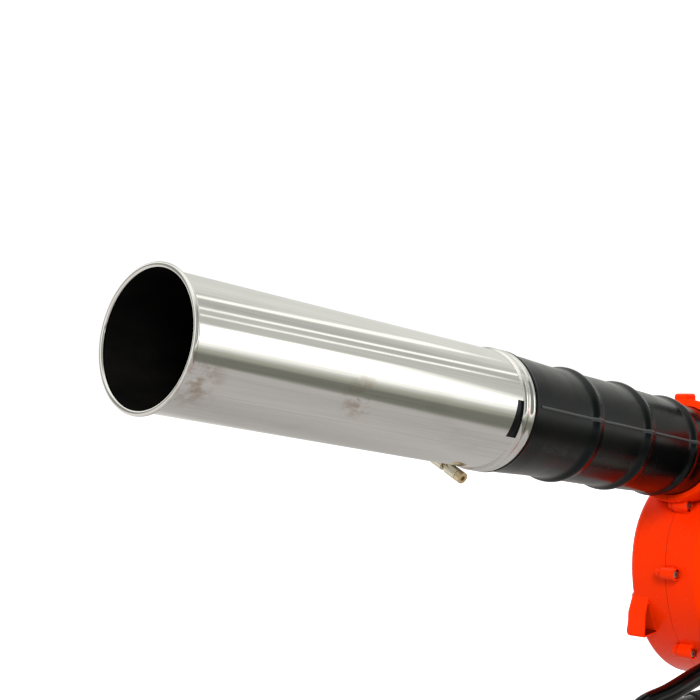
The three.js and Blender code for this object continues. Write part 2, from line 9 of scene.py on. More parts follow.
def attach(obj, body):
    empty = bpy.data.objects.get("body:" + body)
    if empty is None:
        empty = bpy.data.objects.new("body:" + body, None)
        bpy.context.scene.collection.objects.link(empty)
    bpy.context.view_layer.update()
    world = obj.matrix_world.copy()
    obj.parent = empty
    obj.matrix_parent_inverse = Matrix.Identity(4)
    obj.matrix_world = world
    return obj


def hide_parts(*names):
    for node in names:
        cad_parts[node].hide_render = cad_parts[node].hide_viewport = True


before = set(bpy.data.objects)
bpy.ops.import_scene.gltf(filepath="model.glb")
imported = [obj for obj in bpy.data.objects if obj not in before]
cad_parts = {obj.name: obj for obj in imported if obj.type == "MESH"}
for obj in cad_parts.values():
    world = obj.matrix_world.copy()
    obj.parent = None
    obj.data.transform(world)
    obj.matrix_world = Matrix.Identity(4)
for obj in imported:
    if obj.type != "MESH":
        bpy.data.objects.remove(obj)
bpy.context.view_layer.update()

MM = 0.001
FROM_CRANK = np.array([-247.6, -32.5, 150.0])
GAP = 0.3
FULL = 2 * math.pi


def row(points):
    """Crank-frame millimetres to row-frame metres."""
    return (np.asarray(points, float) + FROM_CRANK) * MM


# ---------- camera ----------
CAMERA_AT = (1254.6, 791.2, 192.4)
CAMERA_LOOK = (-0.703, -0.711, 0.0)
LENS = 83.1


def linked(name, data):
    obj = bpy.data.objects.new(name, data)
    bpy.context.scene.collection.objects.link(obj)
    return obj


def aimed(name, data, where, way):
    """An object at a place in the row frame, looking along a direction."""
    obj = linked(name, data)
    obj.location = where
    obj.rotation_mode = "QUATERNION"
    obj.rotation_quaternion = Vector(way).to_track_quat("-Z", "Y")
    return obj


def add_camera():
    data = bpy.data.cameras.new("camera")
    data.lens = LENS
    data.sensor_width = 36.0
    data.clip_start = 0.01
    data.clip_end = 50.0
    bpy.context.scene.camera = aimed("camera", data, Vector(row(CAMERA_AT)), CAMERA_LOOK)


add_camera()


# ---------- mesh helpers ----------
def make(name, points, faces):
    """A mesh object from crank-frame points, welded, with its faces turned outward."""
    mesh = bpy.data.meshes.new(name)
    mesh.from_pydata([tuple(p) for p in row(points)], [], [tuple(int(i) for i in f) for f in faces])
    bm = bmesh.new()
    bm.from_mesh(mesh)
    bmesh.ops.remove_doubles(bm, verts=bm.verts, dist=1e-7)
    bmesh.ops.recalc_face_normals(bm, faces=bm.faces)
    bm.to_mesh(mesh)
    bm.free()
    return linked(name, mesh)


def stack_faces(levels, count):
    """Faces of a solid made of stacked rings of count points each: its sides and both ends."""
    faces = []
    for i in range(levels - 1):
        for k in range(count):
            m = (k + 1) % count
            faces.append((i * count + k, i * count + m, (i + 1) * count + m, (i + 1) * count + k))
    faces.append(tuple(range(count - 1, -1, -1)))
    faces.append(tuple((levels - 1) * count + k for k in range(count)))
    return faces


def about_y(x, z):
    return lambda a, b, h: np.stack([x + a, h, z + b], -1)


def about_z(x, y):
    return lambda a, b, h: np.stack([x + a, y + b, h], -1)


def about_x(y, z):
    return lambda a, b, h: np.stack([h, y + a, z + b], -1)


def softened(profile, radius, steps=3):
    """Rounds the corners of a lathe profile, keeping points that lie on the axis."""
    closed = profile[0] == profile[-1]
    pts = [np.array(p, float) for p in (profile[:-1] if closed else profile)]
    out = []
    count = len(pts)
    for i, p in enumerate(pts):
        if not closed and i in (0, count - 1) or p[0] == 0:
            out.append(tuple(p))
            continue
        before, after = pts[i - 1] - p, pts[(i + 1) % count] - p
        la, lb = np.linalg.norm(before), np.linalg.norm(after)
        turn = math.acos(max(-1, min(1, float(before @ after) / (la * lb))))
        if turn > math.radians(165):
            out.append(tuple(p))
            continue
        cut = min(radius / math.tan(turn / 2), la * 0.45, lb * 0.45)
        start, end = p + before / la * cut, p + after / lb * cut
        for k in range(steps + 1):
            t = k / steps
            out.append(tuple((1 - t) ** 2 * start + 2 * t * (1 - t) * p + t**2 * end))
    if closed:
        out.append(out[0])
    return out


def lathe(name, profile, place, segments=96, soften=0.0):
    """Spins a profile of (radius, height) points; place puts each point into the crank frame."""
    if soften:
        profile = softened(profile, soften)
    closed = profile[0] == profile[-1]
    if closed:
        profile = profile[:-1]
    turns = np.arange(segments) * FULL / segments
    points, rings = [], []
    for r, h in profile:
        if r <= 1e-9:
            rings.append([len(points)])
            points.append(place(0.0, 0.0, float(h)))
        else:
            rings.append(list(range(len(points), len(points) + segments)))
            points.extend(place(r * np.sin(turns), r * np.cos(turns), np.full(segments, float(h))))
    faces = []
    last = len(rings) if closed else len(rings) - 1
    for i in range(last):
        low, high = rings[i], rings[(i + 1) % len(rings)]
        for k in range(segments):
            n = (k + 1) % segments
            if len(low) == 1 and len(high) == 1:
                continue
            if len(low) == 1:
                faces.append((low[0], high[k], high[n]))
            elif len(high) == 1:
                faces.append((low[k], low[n], high[0]))
            else:
                faces.append((low[k], low[n], high[n], high[k]))
    return make(name, points, faces)


def disc(name, r, y0, y1, x=0.0, z=0.0, segments=64, soften=0.4):
    """A round plate or pin lying along Y."""
    return lathe(name, [(0, y0), (r, y0), (r, y1), (0, y1)], about_y(x, z), segments, soften)


def ring(name, r0, r1, y0, y1, x=0.0, z=0.0, segments=96, soften=0.4):
    profile = [(r0, y0), (r1, y0), (r1, y1), (r0, y1), (r0, y0)]
    return lathe(name, profile, about_y(x, z), segments, soften)


def round_rect(u0, u1, v0, v1, r, steps=8):
    corners = [(u1 - r, v0 + r, -90), (u1 - r, v1 - r, 0), (u0 + r, v1 - r, 90), (u0 + r, v0 + r, 180)]
    out = []
    for cu, cv, start in corners:
        for k in range(steps + 1):
            a = math.radians(start + 90 * k / steps)
            out.append((cu + r * math.cos(a), cv + r * math.sin(a)))
    return np.array(out)


def inset(outline, amount):
    """Moves a closed outline inward along its own normals."""
    ahead = np.roll(outline, -1, 0) - outline
    behind = outline - np.roll(outline, 1, 0)
    ahead = ahead / np.maximum(np.linalg.norm(ahead, axis=1, keepdims=True), 1e-9)
    behind = behind / np.maximum(np.linalg.norm(behind, axis=1, keepdims=True), 1e-9)
    tangent = ahead + behind
    tangent = tangent / np.maximum(np.linalg.norm(tangent, axis=1, keepdims=True), 1e-9)
    normal = np.stack([-tangent[:, 1], tangent[:, 0]], 1)
    u, v = outline[:, 0], outline[:, 1]
    side = 1.0 if np.sum(u * np.roll(v, -1) - np.roll(u, -1) * v) > 0 else -1.0
    grow = 1.0 / np.maximum(np.sum(tangent * ahead, 1), 0.4)
    return outline + normal * (side * amount * grow)[:, None]


def flat_y(u, v, h):
    return np.stack([u, h, v], -1)


def flat_x(u, v, h):
    return np.stack([h, u, v], -1)


def flat_z(u, v, h):
    return np.stack([u, v, h], -1)


def edge_levels(h0, h1, bevel, steps):
    """Heights of an edge-rounded slab with how far its outline draws in at each."""
    if bevel <= 0:
        return [(h0, 0.0), (h1, 0.0)]
    turn = [math.pi / 2 * k / steps for k in range(steps + 1)]
    low = [(h0 + bevel * (1 - math.cos(a)), bevel * (1 - math.sin(a))) for a in turn]
    high = [(h1 - (h - h0), amount) for h, amount in reversed(low)]
    return low + high if high[0][0] - low[-1][0] > 1e-6 else low + high[1:]


def rounded(corners, radius):
    """A closed outline with its corners rounded."""
    return np.array(softened(list(corners) + [corners[0]], radius, 5)[:-1])


def slab(name, outline, h0, h1, bevel=0.0, steps=5, place=flat_y):
    """A closed outline made solid between two heights, with rounded edges."""
    outline = np.asarray(outline, float)
    count = len(outline)
    points = []
    levels = edge_levels(h0, h1, bevel, steps)
    for h, amount in levels:
        flat = inset(outline, amount) if amount > 1e-6 else outline
        points.extend(place(flat[:, 0], flat[:, 1], np.full(count, h)))
    return make(name, points, stack_faces(len(levels), count))


def cushion(name, x0, x1, y0, y1, z0, z1, r, bevel, steps=5):
    return slab(name, round_rect(x0, x1, z0, z1, r), y0, y1, bevel, steps)


def block(name, x0, x1, y0, y1, z0, z1):
    return slab(name, [(x0, z0), (x1, z0), (x1, z1), (x0, z1)], y0, y1)


def plate_z(name, x0, x1, y0, y1, z0, z1, r, bevel, steps=3):
    return slab(name, round_rect(x0, x1, y0, y1, r), z0, z1, bevel, steps, flat_z)


def plate_x(name, x0, x1, y0, y1, z0, z1, r, bevel, steps=3):
    return slab(name, round_rect(y0, y1, z0, z1, r), x0, x1, bevel, steps, flat_x)


def spun(obj, degrees, x=0.0, z=0.0):
    """Turns a mesh about the line parallel to Y through (x, z)."""
    centre = row([x, 0, z])
    a = math.radians(degrees)
    for v in obj.data.vertices:
        dx, dz = v.co.x - centre[0], v.co.z - centre[2]
        v.co.x = centre[0] + dx * math.cos(a) + dz * math.sin(a)
        v.co.z = centre[2] - dx * math.sin(a) + dz * math.cos(a)
    return obj


def smooth_line(points, steps):
    """Centripetal Catmull-Rom line through the points, sampled as the CAD source samples it."""
    pts = [np.array(p, float) for p in points]
    pts = [2 * pts[0] - pts[1]] + pts + [2 * pts[-1] - pts[-2]]
    spans = len(pts) - 3
    out = []
    for s in range(steps + 1):
        u = min(s / steps * spans, spans - 1e-9)
        i = int(u)
        w = u - i
        p0, p1, p2, p3 = pts[i : i + 4]
        d0, d1, d2 = [max(np.linalg.norm(b - a) ** 0.5, 1e-4) for a, b in ((p0, p1), (p1, p2), (p2, p3))]
        t1 = ((p1 - p0) / d0 - (p2 - p0) / (d0 + d1) + (p2 - p1) / d1) * d1
        t2 = ((p2 - p1) / d1 - (p3 - p1) / (d1 + d2) + (p3 - p2) / d2) * d1
        c2 = -3 * p1 + 3 * p2 - 2 * t1 - t2
        c3 = 2 * p1 - 2 * p2 + t1 + t2
        out.append(p1 + t1 * w + c2 * w**2 + c3 * w**3)
    return np.array(out)


def closed_line(points, steps):
    pts = list(points)
    count = len(pts)
    ring_points = smooth_line(pts[-3:] + pts + pts[:3], steps * (count + 5))
    per = len(ring_points) / (count + 5)
    return ring_points[int(round(per * 3)) : int(round(per * (count + 3)))]


def swept(name, line, radius, sides=32):
    """A round bar along a dense line, carried round bends without twisting."""
    line = np.asarray(line, float)
    tangents = np.gradient(line, axis=0)
    tangents = tangents / np.linalg.norm(tangents, axis=1, keepdims=True)
    start = np.array([0.0, 1.0, 0.0]) if abs(tangents[0][2]) > 0.9 else np.array([0.0, 0.0, 1.0])
    normal = np.cross(tangents[0], start)
    turns = np.arange(sides) * FULL / sides
    points = []
    for centre, tangent in zip(line, tangents):
        normal = normal - tangent * (normal @ tangent)
        normal = normal / np.linalg.norm(normal)
        side = np.cross(tangent, normal)
        points.extend(centre + radius * (math.cos(a) * normal + math.sin(a) * side) for a in turns)
    return make(name, points, stack_faces(len(line), sides))


def boolean(base, tools, operation):
    """Applies the tools to the base mesh and deletes them."""
    for tool in tools:
        mod = base.modifiers.new("b", "BOOLEAN")
        mod.operation = operation
        mod.solver = "MANIFOLD"
        mod.object = tool
    deps = bpy.context.evaluated_depsgraph_get()
    deps.update()
    mesh = bpy.data.meshes.new_from_object(base.evaluated_get(deps))
    base.modifiers.clear()
    old = base.data
    base.data = mesh
    bpy.data.meshes.remove(old)
    for tool in tools:
        bpy.data.objects.remove(tool)
    return base


def cut(base, *tools):
    return boolean(base, tools, "DIFFERENCE")


def fuse(base, *tools):
    return boolean(base, tools, "UNION")


def copied(obj, name):
    return linked(name, obj.data.copy())


def finish_piece(obj, slot, *looks, body="machine", sharp=32):
    """Shades a piece, gives it its looks (its slot's look unless others are named), parents it to its body
    and hides the CAD node of the same name.
    """
    obj.data.materials.clear()
    for look in looks or [LOOKS[slot]]:
        obj.data.materials.append(look)
    obj.data.shade_smooth()
    obj.data.set_sharp_from_angle(angle=math.radians(sharp))
    even = obj.modifiers.new("even", "WEIGHTED_NORMAL")
    even.keep_sharp = True
    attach(obj, body)
    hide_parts(obj.name.removesuffix("_skin"))
    return obj


# ---------- material helpers ----------
class Nodes:
    """A small node-tree writer, for materials and for the surroundings."""

    def __init__(self, tree):
        self.tree = tree

    def node(self, kind, **values):
        made = self.tree.nodes.new(kind)
        for key, value in values.items():
            setattr(made, key, value)
        return made

    def wire(self, source, target):
        self.tree.links.new(source, target)

    def feed(self, *pairs):
        """Links each socket to its value, or sets it when the value is plain."""
        for value, socket in pairs:
            if isinstance(value, bpy.types.NodeSocket):
                self.wire(value, socket)
            else:
                socket.default_value = value

    def noise(self, scale, detail=3.0, stretch=(1, 1, 1), roughness=0.5):
        mapping = self.node("ShaderNodeMapping")
        place = self.node("ShaderNodeTexCoord").outputs["Object"]
        self.feed((place, mapping.inputs["Vector"]), (stretch, mapping.inputs["Scale"]))
        noise = self.node("ShaderNodeTexNoise")
        for value, key in ((mapping.outputs["Vector"], "Vector"), (scale, "Scale"), (detail, "Detail"),
                           (roughness, "Roughness")):
            self.feed((value, noise.inputs[key]))
        return noise.outputs["Fac"]

    def ramp(self, source, stops):
        made = self.node("ShaderNodeValToRGB")
        ramp_stops(made.color_ramp, stops)
        self.wire(source, made.inputs["Fac"])
        return made.outputs["Color"]

    def levels(self, source, low, high, to_low, to_high):
        """Carries low..high to to_low..to_high and holds both ends."""
        made = self.node("ShaderNodeMapRange")
        for value, key in ((source, "Value"), (low, "From Min"), (high, "From Max"), (to_low, "To Min"),
                           (to_high, "To Max")):
            self.feed((value, made.inputs[key]))
        return made.outputs["Result"]

    def mix(self, factor, first, second):
        made = self.node("ShaderNodeMix", data_type="RGBA")
        self.feed((factor, made.inputs[0]), (first, made.inputs[6]), (second, made.inputs[7]))
        return made.outputs[2]

    def math(self, operation, *values):
        made = self.node("ShaderNodeMath", operation=operation)
        self.feed(*zip(values, made.inputs))
        return made.outputs[0]

    def vector(self, operation, source, fixed):
        made = self.node("ShaderNodeVectorMath", operation=operation)
        self.feed((source, made.inputs[0]), (fixed, made.inputs[1]))
        return made.outputs["Value"]

    def shine(self, kind, color, strength):
        """An emission or background shader's output."""
        made = self.node(kind)
        self.feed((color, made.inputs["Color"]), (strength, made.inputs["Strength"]))
        return made.outputs[0]

    def by_ray(self, ray, first, second):
        """The first shader, or the second one for rays of the named kind."""
        path = self.node("ShaderNodeLightPath")
        made = self.node("ShaderNodeMixShader")
        self.feed((path.outputs[ray], made.inputs[0]), (first, made.inputs[1]), (second, made.inputs[2]))
        return made.outputs[0]


class Look(Nodes):
    """A material built on its Principled shader."""

    def __init__(self, name):
        self.material = bpy.data.materials.new(name)
        self.material.use_nodes = True
        super().__init__(self.material.node_tree)
        self.shader = self.tree.nodes["Principled BSDF"]

    def set(self, **values):
        for key, value in values.items():
            self.shader.inputs[key.replace("_", " ")].default_value = value

    def color(self, source):
        self.wire(source, self.shader.inputs["Base Color"])

    def gloss(self, source):
        self.wire(source, self.shader.inputs["Roughness"])

    def bump(self, source, strength, distance, edge=0.0):
        made = self.node("ShaderNodeBump")
        made.inputs["Strength"].default_value = strength
        made.inputs["Distance"].default_value = distance
        self.wire(source, made.inputs["Height"])
        if edge:
            bevel = self.node("ShaderNodeBevel", samples=4)
            bevel.inputs["Radius"].default_value = edge
            self.wire(bevel.outputs["Normal"], made.inputs["Normal"])
        self.wire(made.outputs["Normal"], self.shader.inputs["Normal"])


def grey(value):
    return (value, value, value, 1.0)


def moulded(name, color, rough=0.3, grain=0.05, level=0.5, vary=0.12, tint=None, painted_shade=None):
    """Injection-moulded plastic: faint tone drift, fine grain, uneven gloss, and painted shade darkening its
    recesses if asked for.
    """
    look = Look(name)
    drift = look.noise(14.0, 3.0)
    dark = tuple(c * (1 - vary) for c in color[:3]) + (1,)
    light = tuple(min(1.0, c * (1 + vary)) for c in color[:3]) + (1,)
    look.color(look.ramp(drift, [(0.3, dark), (0.7, light)]))
    haze = look.noise(60.0, 4.0, roughness=0.6)
    look.gloss(look.levels(haze, 0.3, 0.7, rough * 0.82, rough * 1.22))
    look.bump(look.noise(1500.0, 2.0), grain, 0.0002, 0.0004)
    look.set(Specular_IOR_Level=level)
    if tint:
        look.set(Specular_Tint=tint)
    if painted_shade:
        # Painted shade: ambient occlusion pulls the colour toward the given dark colour in recesses and gaps.
        occlusion = look.node("ShaderNodeAmbientOcclusion", samples=4)
        occlusion.inputs["Distance"].default_value = 0.009
        plain = look.shader.inputs["Base Color"].links[0].from_socket
        shade_mask = look.levels(occlusion.outputs["AO"], 0.55, 0.25, 0.0, 1.0)
        look.color(look.mix(shade_mask, plain, painted_shade))
    return look.material


def metal(name, color, rough=0.3, grain=0.08, scale=900.0, vary=0.1):
    """Plated or cast metal: slow tone drift, uneven gloss, fine grain."""
    look = Look(name)
    drift = look.noise(30.0, 4.0)
    dark = tuple(c * (1 - vary) for c in color[:3]) + (1,)
    look.color(look.ramp(drift, [(0.35, dark), (0.65, color)]))
    look.gloss(look.levels(look.noise(120.0, 4.0), 0.3, 0.7, rough * 0.75, rough * 1.3))
    look.bump(look.noise(scale, 3.0), grain, 0.0002, 0.0003)
    look.set(Metallic=1.0)
    return look.material


# ---------- stage: floor, surroundings, lamps ----------
def ramp_stops(ramp, stops):
    """Fills a colour ramp; stops are (position 0 to 1, colour)."""
    while len(ramp.elements) > 1:
        ramp.elements.remove(ramp.elements[-1])
    ramp.elements[0].position = stops[0][0]
    ramp.elements[0].color = stops[0][1]
    for position, color in stops[1:]:
        ramp.elements.new(position).color = color


def tinted(level, tint, scale):
    return tuple(level * c * scale for c in tint) + (1,)


# Studio walls by compass angle (degrees from +x toward +y) and their brightness, dim between the panels.
COOL = (1.0, 1.01, 0.94)
WALLS = [(0, 1.2), (16, 1.15), (24, 0.42), (48, 0.3), (66, 0.8), (84, 0.3), (118, 0.24), (124, 0.6),
         (150, 0.7), (160, 0.58), (172, 0.62), (178, 0.72), (186, 0.85), (200, 0.9), (210, 0.84),
         (222, 0.79), (252, 0.35), (262, 1.25), (288, 1.3), (296, 0.4), (318, 0.3), (332, 0.9), (360, 1.2)]
WALL_PEAK = 2.0
# One tall bright panel on the nozzle's mirror side: compass angles, height of its top edge, brightness.
PANEL_FROM, PANEL_TO, PANEL_TOP, PANEL_LEVEL = 128.0, 142.0, 18.0, 1.9
# Thin tube lights: compass angle and height in degrees of both ends, half width in degrees.
TUBES = [((143, 28.6), (159, 26.6), 0.8), ((149, 35.6), (172, 29.4), 1.0), ((170, 42.6), (193, 31.4), 1.3)]
TUBE_LEVEL = 1.45
# The ceiling, from the sine of the height where it starts to where it is full.
CEILING_EDGE, CEILING_LEVEL = (0.7, 0.92), 1.3
# What lights matt surfaces: its level at the horizon, and how much it gains toward straight up.
SOFT_LEVEL, SOFT_RISE = 0.6, 0.35
BACKDROP_LEVEL = 1.05


def direction(compass, height):
    a, e = math.radians(compass), math.radians(height)
    return Vector((math.cos(a) * math.cos(e), math.sin(a) * math.cos(e), math.sin(e)))


def add_world():
    """A pale studio all round; its bright and dim panels are what bare metal and gloss plastic show."""
    world = bpy.data.worlds.new("studio")
    bpy.context.scene.world = world
    world.use_nodes = True
    world.node_tree.nodes.clear()
    sky = Nodes(world.node_tree)
    view = sky.node("ShaderNodeTexCoord").outputs["Generated"]
    parts = sky.node("ShaderNodeSeparateXYZ")
    sky.wire(view, parts.inputs[0])
    angle = sky.math("ARCTAN2", parts.outputs["Y"], parts.outputs["X"])
    turn = sky.math("FRACT", sky.math("MULTIPLY_ADD", angle, 1 / FULL, 1.0))
    height = parts.outputs["Z"]

    def fade(value, start, end):
        """0 at start and 1 at end, whichever way round they are."""
        return sky.levels(value, start, end, 0.0, 1.0)

    def lit(level):
        return tinted(level, COOL, 1 / WALL_PEAK)

    walls = sky.ramp(turn, [(compass / 360, lit(level)) for compass, level in WALLS])
    seen = sky.mix(fade(height, *CEILING_EDGE), walls, lit(CEILING_LEVEL))
    sides = sky.math("MULTIPLY", fade(turn, (PANEL_FROM - 3) / 360, PANEL_FROM / 360),
                     fade(turn, (PANEL_TO + 5) / 360, PANEL_TO / 360))
    top = math.sin(math.radians(PANEL_TOP))
    seen = sky.mix(sky.math("MULTIPLY", sides, fade(height, top + 0.03, top)), seen, lit(PANEL_LEVEL))
    for start, end, half_width in TUBES:
        one, two = direction(*start), direction(*end)
        reach = one.angle(two) / 2
        wide = math.sin(math.radians(half_width))
        across = sky.math("ABSOLUTE", sky.vector("DOT_PRODUCT", view, one.cross(two).normalized()))
        along = sky.vector("DOT_PRODUCT", view, (one + two).normalized())
        mask = sky.math("MULTIPLY", fade(across, wide * 1.5, wide * 0.7),
                        fade(along, math.cos(reach * 1.25), math.cos(reach * 0.9)))
        seen = sky.mix(mask, seen, lit(TUBE_LEVEL))
    mirrored = sky.shine("ShaderNodeBackground", seen, WALL_PEAK)
    gradient = sky.math("MULTIPLY_ADD", height, SOFT_RISE, SOFT_LEVEL)
    soft = sky.shine("ShaderNodeBackground", grey(1.0), gradient)
    plain = sky.shine("ShaderNodeBackground", grey(1.0), BACKDROP_LEVEL)
    mixed = sky.by_ray("Is Camera Ray", sky.by_ray("Is Diffuse Ray", mirrored, soft), plain)
    sky.wire(mixed, sky.node("ShaderNodeOutputWorld").inputs[0])


FLOOR_Z = -150.0
# Floor brightness as bare metal sees it, by distance in metres off the pipe line: mid grey beneath, a
# darker strip beside it, then pale again.
WARM = (1.0, 0.96, 0.91)
OLIVE = (1.0, 1.02, 0.84)
FLOOR_TONES = [(-0.8, 0.92, WARM), (-0.6, 0.74, WARM), (-0.45, 0.54, WARM), (-0.32, 0.49, WARM),
               (-0.15, 0.59, WARM), (0.05, 0.53, WARM), (0.18, 0.58, WARM), (0.23, 0.55, WARM),
               (0.31, 0.25, OLIVE), (0.4, 0.21, OLIVE), (0.75, 0.22, OLIVE), (0.95, 0.37, OLIVE),
               (1.35, 0.5, OLIVE), (2.5, 0.85, COOL), (4.0, 1.25, COOL)]
TONE_PEAK = 1.3
# The direction in x and y that those distances are measured in.
FLOOR_SIDE = (-0.66, 0.75)
FLOOR_HALF = 12000.0
FLOOR_DROP = 0.0004
# Light the floor gives back to matt surfaces, and its own glow as the camera sees it.
FLOOR_BOUNCE, FLOOR_GLOW = 0.7, 0.45


def add_floor():
    mesh = bpy.data.meshes.new("floor")
    signs = ((-1, -1), (1, -1), (1, 1), (-1, 1))
    corners = row([(x * FLOOR_HALF, y * FLOOR_HALF, FLOOR_Z) for x, y in signs])
    mesh.from_pydata([tuple(p) for p in corners - np.array([0, 0, FLOOR_DROP])], [], [(0, 1, 2, 3)])
    floor = linked("floor", mesh)
    look = Look("pale_floor")
    parts = look.node("ShaderNodeSeparateXYZ")
    look.wire(look.node("ShaderNodeTexCoord").outputs["Object"], parts.inputs[0])
    side_x, side_y = FLOOR_SIDE
    across = look.math("ADD", look.math("MULTIPLY", parts.outputs["X"], side_x),
                       look.math("MULTIPLY", parts.outputs["Y"], side_y))
    shift = (-side_x * FROM_CRANK[0] - side_y * FROM_CRANK[1]) * MM
    low, high = FLOOR_TONES[0][0], FLOOR_TONES[-1][0]
    place = look.levels(look.math("ADD", across, shift), low, high, 0.0, 1.0)
    stops = [((u - low) / (high - low), tinted(level, tint, 1 / TONE_PEAK))
             for u, level, tint in FLOOR_TONES]
    mirrored = look.shine("ShaderNodeEmission", look.ramp(place, stops), TONE_PEAK)
    bounce = look.shine("ShaderNodeEmission", grey(FLOOR_BOUNCE), 1.0)
    look.set(Roughness=0.9, Specular_IOR_Level=0.1, Base_Color=grey(0.86), Emission_Color=grey(1.0))
    look.shader.inputs["Emission Strength"].default_value = FLOOR_GLOW
    seen = look.by_ray("Is Glossy Ray", look.shader.outputs[0], mirrored)
    lit = look.by_ray("Is Diffuse Ray", seen, bounce)
    look.wire(lit, look.tree.nodes["Material Output"].inputs["Surface"])
    mesh.materials.append(look.material)


def add_lamp(name, where, aim, size, watts):
    """A round soft lamp; glossy surfaces show the studio walls instead of it."""
    data = bpy.data.lights.new(name, "AREA")
    data.shape = "DISK"
    data.size = size
    data.energy = watts
    aimed(name, data, where, Vector(aim) - Vector(where)).visible_glossy = False


add_world()
add_floor()
add_lamp("overhead", (0.1, 0.3, 2.6), (0.0, 0.0, 0.2), 1.4, 26.0)
add_lamp("key", (1.5, 1.7, 1.5), (-0.1, 0.0, 0.2), 0.9, 52.0)
add_lamp("fill", (-1.8, -1.5, 1.6), (-0.1, 0.0, 0.2), 1.2, 34.0)
bpy.context.scene.view_settings.view_transform = "Standard"


# ---------- materials ----------
# Stain patches on the steel tube: centre and reach in metres, in the tube's own frame.
STAINS = (((0.0369, 0.0258, 0.014), 0.024), ((0.0425, 0.0148, 0.148), 0.02))


def steel_look():
    """Brushed stainless tube: lengthwise drawing lines, faint haze, and dried stains low near the mouth."""
    look = Look("brushed_steel")
    streak = look.noise(900.0, 4.0, (1, 1, 0.012), 0.6)
    fine = look.noise(2600.0, 2.0, (1, 1, 0.02), 0.5)
    haze = look.noise(26.0, 4.0, (1, 1, 0.45), 0.6)
    base = look.ramp(streak, [(0.28, (0.66, 0.65, 0.64, 1)), (0.72, (0.76, 0.755, 0.745, 1))])
    soiled = look.mix(look.levels(haze, 0.56, 0.78, 0.0, 0.35), base, (0.5, 0.47, 0.45, 1))
    # Stains sit in two low patches: one by the mouth, one halfway along.
    place = look.node("ShaderNodeTexCoord").outputs["Object"]
    patches = []
    for centre, reach in STAINS:
        away = look.vector("DISTANCE", place, centre)
        patches.append(look.levels(away, reach * 0.25, reach, 1.0, 0.0))
    mask = look.math("MAXIMUM", *patches)
    blot = look.noise(130.0, 5.0, (1, 1, 0.6), 0.65)
    spots = look.math("MULTIPLY", mask, look.levels(blot, 0.44, 0.6, 0.0, 0.75))
    look.color(look.mix(spots, soiled, (0.42, 0.33, 0.26, 1)))
    rough = look.levels(look.noise(60.0, 3.0, (1, 1, 0.2)), 0.3, 0.7, 0.05, 0.09)
    look.gloss(look.math("ADD", rough, look.math("MULTIPLY", spots, 0.3)))
    lines = look.math("ADD", look.math("MULTIPLY", streak, 0.6), look.math("MULTIPLY", fine, 0.4))
    look.bump(lines, 0.035, 0.0002)
    look.set(Metallic=1.0)
    return look.material


def bore_shade_look():
    """The tube's inside: painted shade, a dull near-black colour in the bore."""
    look = Look("bore_painted_shade")
    shade_drift = look.noise(40.0, 5.0, (1, 1, 0.4), 0.6)
    look.color(look.ramp(shade_drift, [(0.3, (0.0015, 0.0015, 0.0016, 1)), (0.75, (0.006, 0.0055, 0.005, 1))]))
    look.gloss(look.levels(shade_drift, 0.2, 0.8, 0.75, 1.0))
    look.bump(look.noise(700.0, 3.0), 0.15, 0.0003)
    look.set(Specular_IOR_Level=0.05)
    return look.material


STEEL = steel_look()
BORE_SHADE = bore_shade_look()
BLACK_PLASTIC = moulded("black_plastic", (0.0045, 0.0047, 0.005), rough=0.34, grain=0.06, level=0.25,
                        vary=0.25)
PIPE_PLASTIC = moulded("black_pipe_plastic", (0.0015, 0.0017, 0.0019), rough=0.24, grain=0.012, level=0.2,
                       vary=0.2, tint=(0.85, 0.95, 1.0, 1))
# The parting bead's paler colour is a painted highlight.
RIDGE_HIGHLIGHT = moulded("black_pipe_ridge_highlight", (0.03, 0.032, 0.034), rough=0.4, grain=0.05, level=0.5,
                        vary=0.3)
ORANGE_SHEEN = (1.0, 0.2, 0.04, 1)
# Dark red painted shade, put on the inside of the wedge's pocket.
ORANGE_PAINTED_SHADE = moulded("orange_painted_shade", (0.2, 0.006, 0.0006), rough=0.6, grain=0.05, level=0.05, vary=0.3,
                      tint=ORANGE_SHEEN)
# Orange plastic, with painted shade in dark red darkening its recesses.
ORANGE = moulded("orange_plastic", (0.97, 0.032, 0.0008), rough=0.25, grain=0.01, level=0.35, vary=0.02,
                 tint=ORANGE_SHEEN, painted_shade=(0.3, 0.006, 0.0005, 1))
GREY_PLASTIC = moulded("grey_plastic", (0.09, 0.1, 0.11), rough=0.45, grain=0.12)
RED_PLASTIC = moulded("red_plastic", (0.42, 0.012, 0.01), rough=0.36, grain=0.06)
RUBBER = moulded("rubber", (0.012, 0.012, 0.0125), rough=0.72, grain=0.2, level=0.35, vary=0.25)
PAINT = moulded("gloss_black_paint", (0.0016, 0.0016, 0.0018), rough=0.1, grain=0.01, level=0.14, vary=0.2)
TANK = moulded("tank_plastic", (0.78, 0.74, 0.62), rough=0.42, grain=0.08, vary=0.05)
CERAMIC = moulded("ceramic", (0.86, 0.84, 0.79), rough=0.18, grain=0.02, level=0.6, vary=0.04)
ZINC = metal("zinc_plate", (0.74, 0.7, 0.56, 1), rough=0.3)
GOLD_ZINC = metal("yellow_zinc_plate", (0.74, 0.6, 0.36, 1), rough=0.28)
ALUMINIUM = metal("cast_aluminium", (0.58, 0.59, 0.6, 1), rough=0.45, grain=0.35, scale=500.0)
DARK_STEEL = metal("dark_steel", (0.17, 0.165, 0.16, 1), rough=0.42, grain=0.15, vary=0.3)


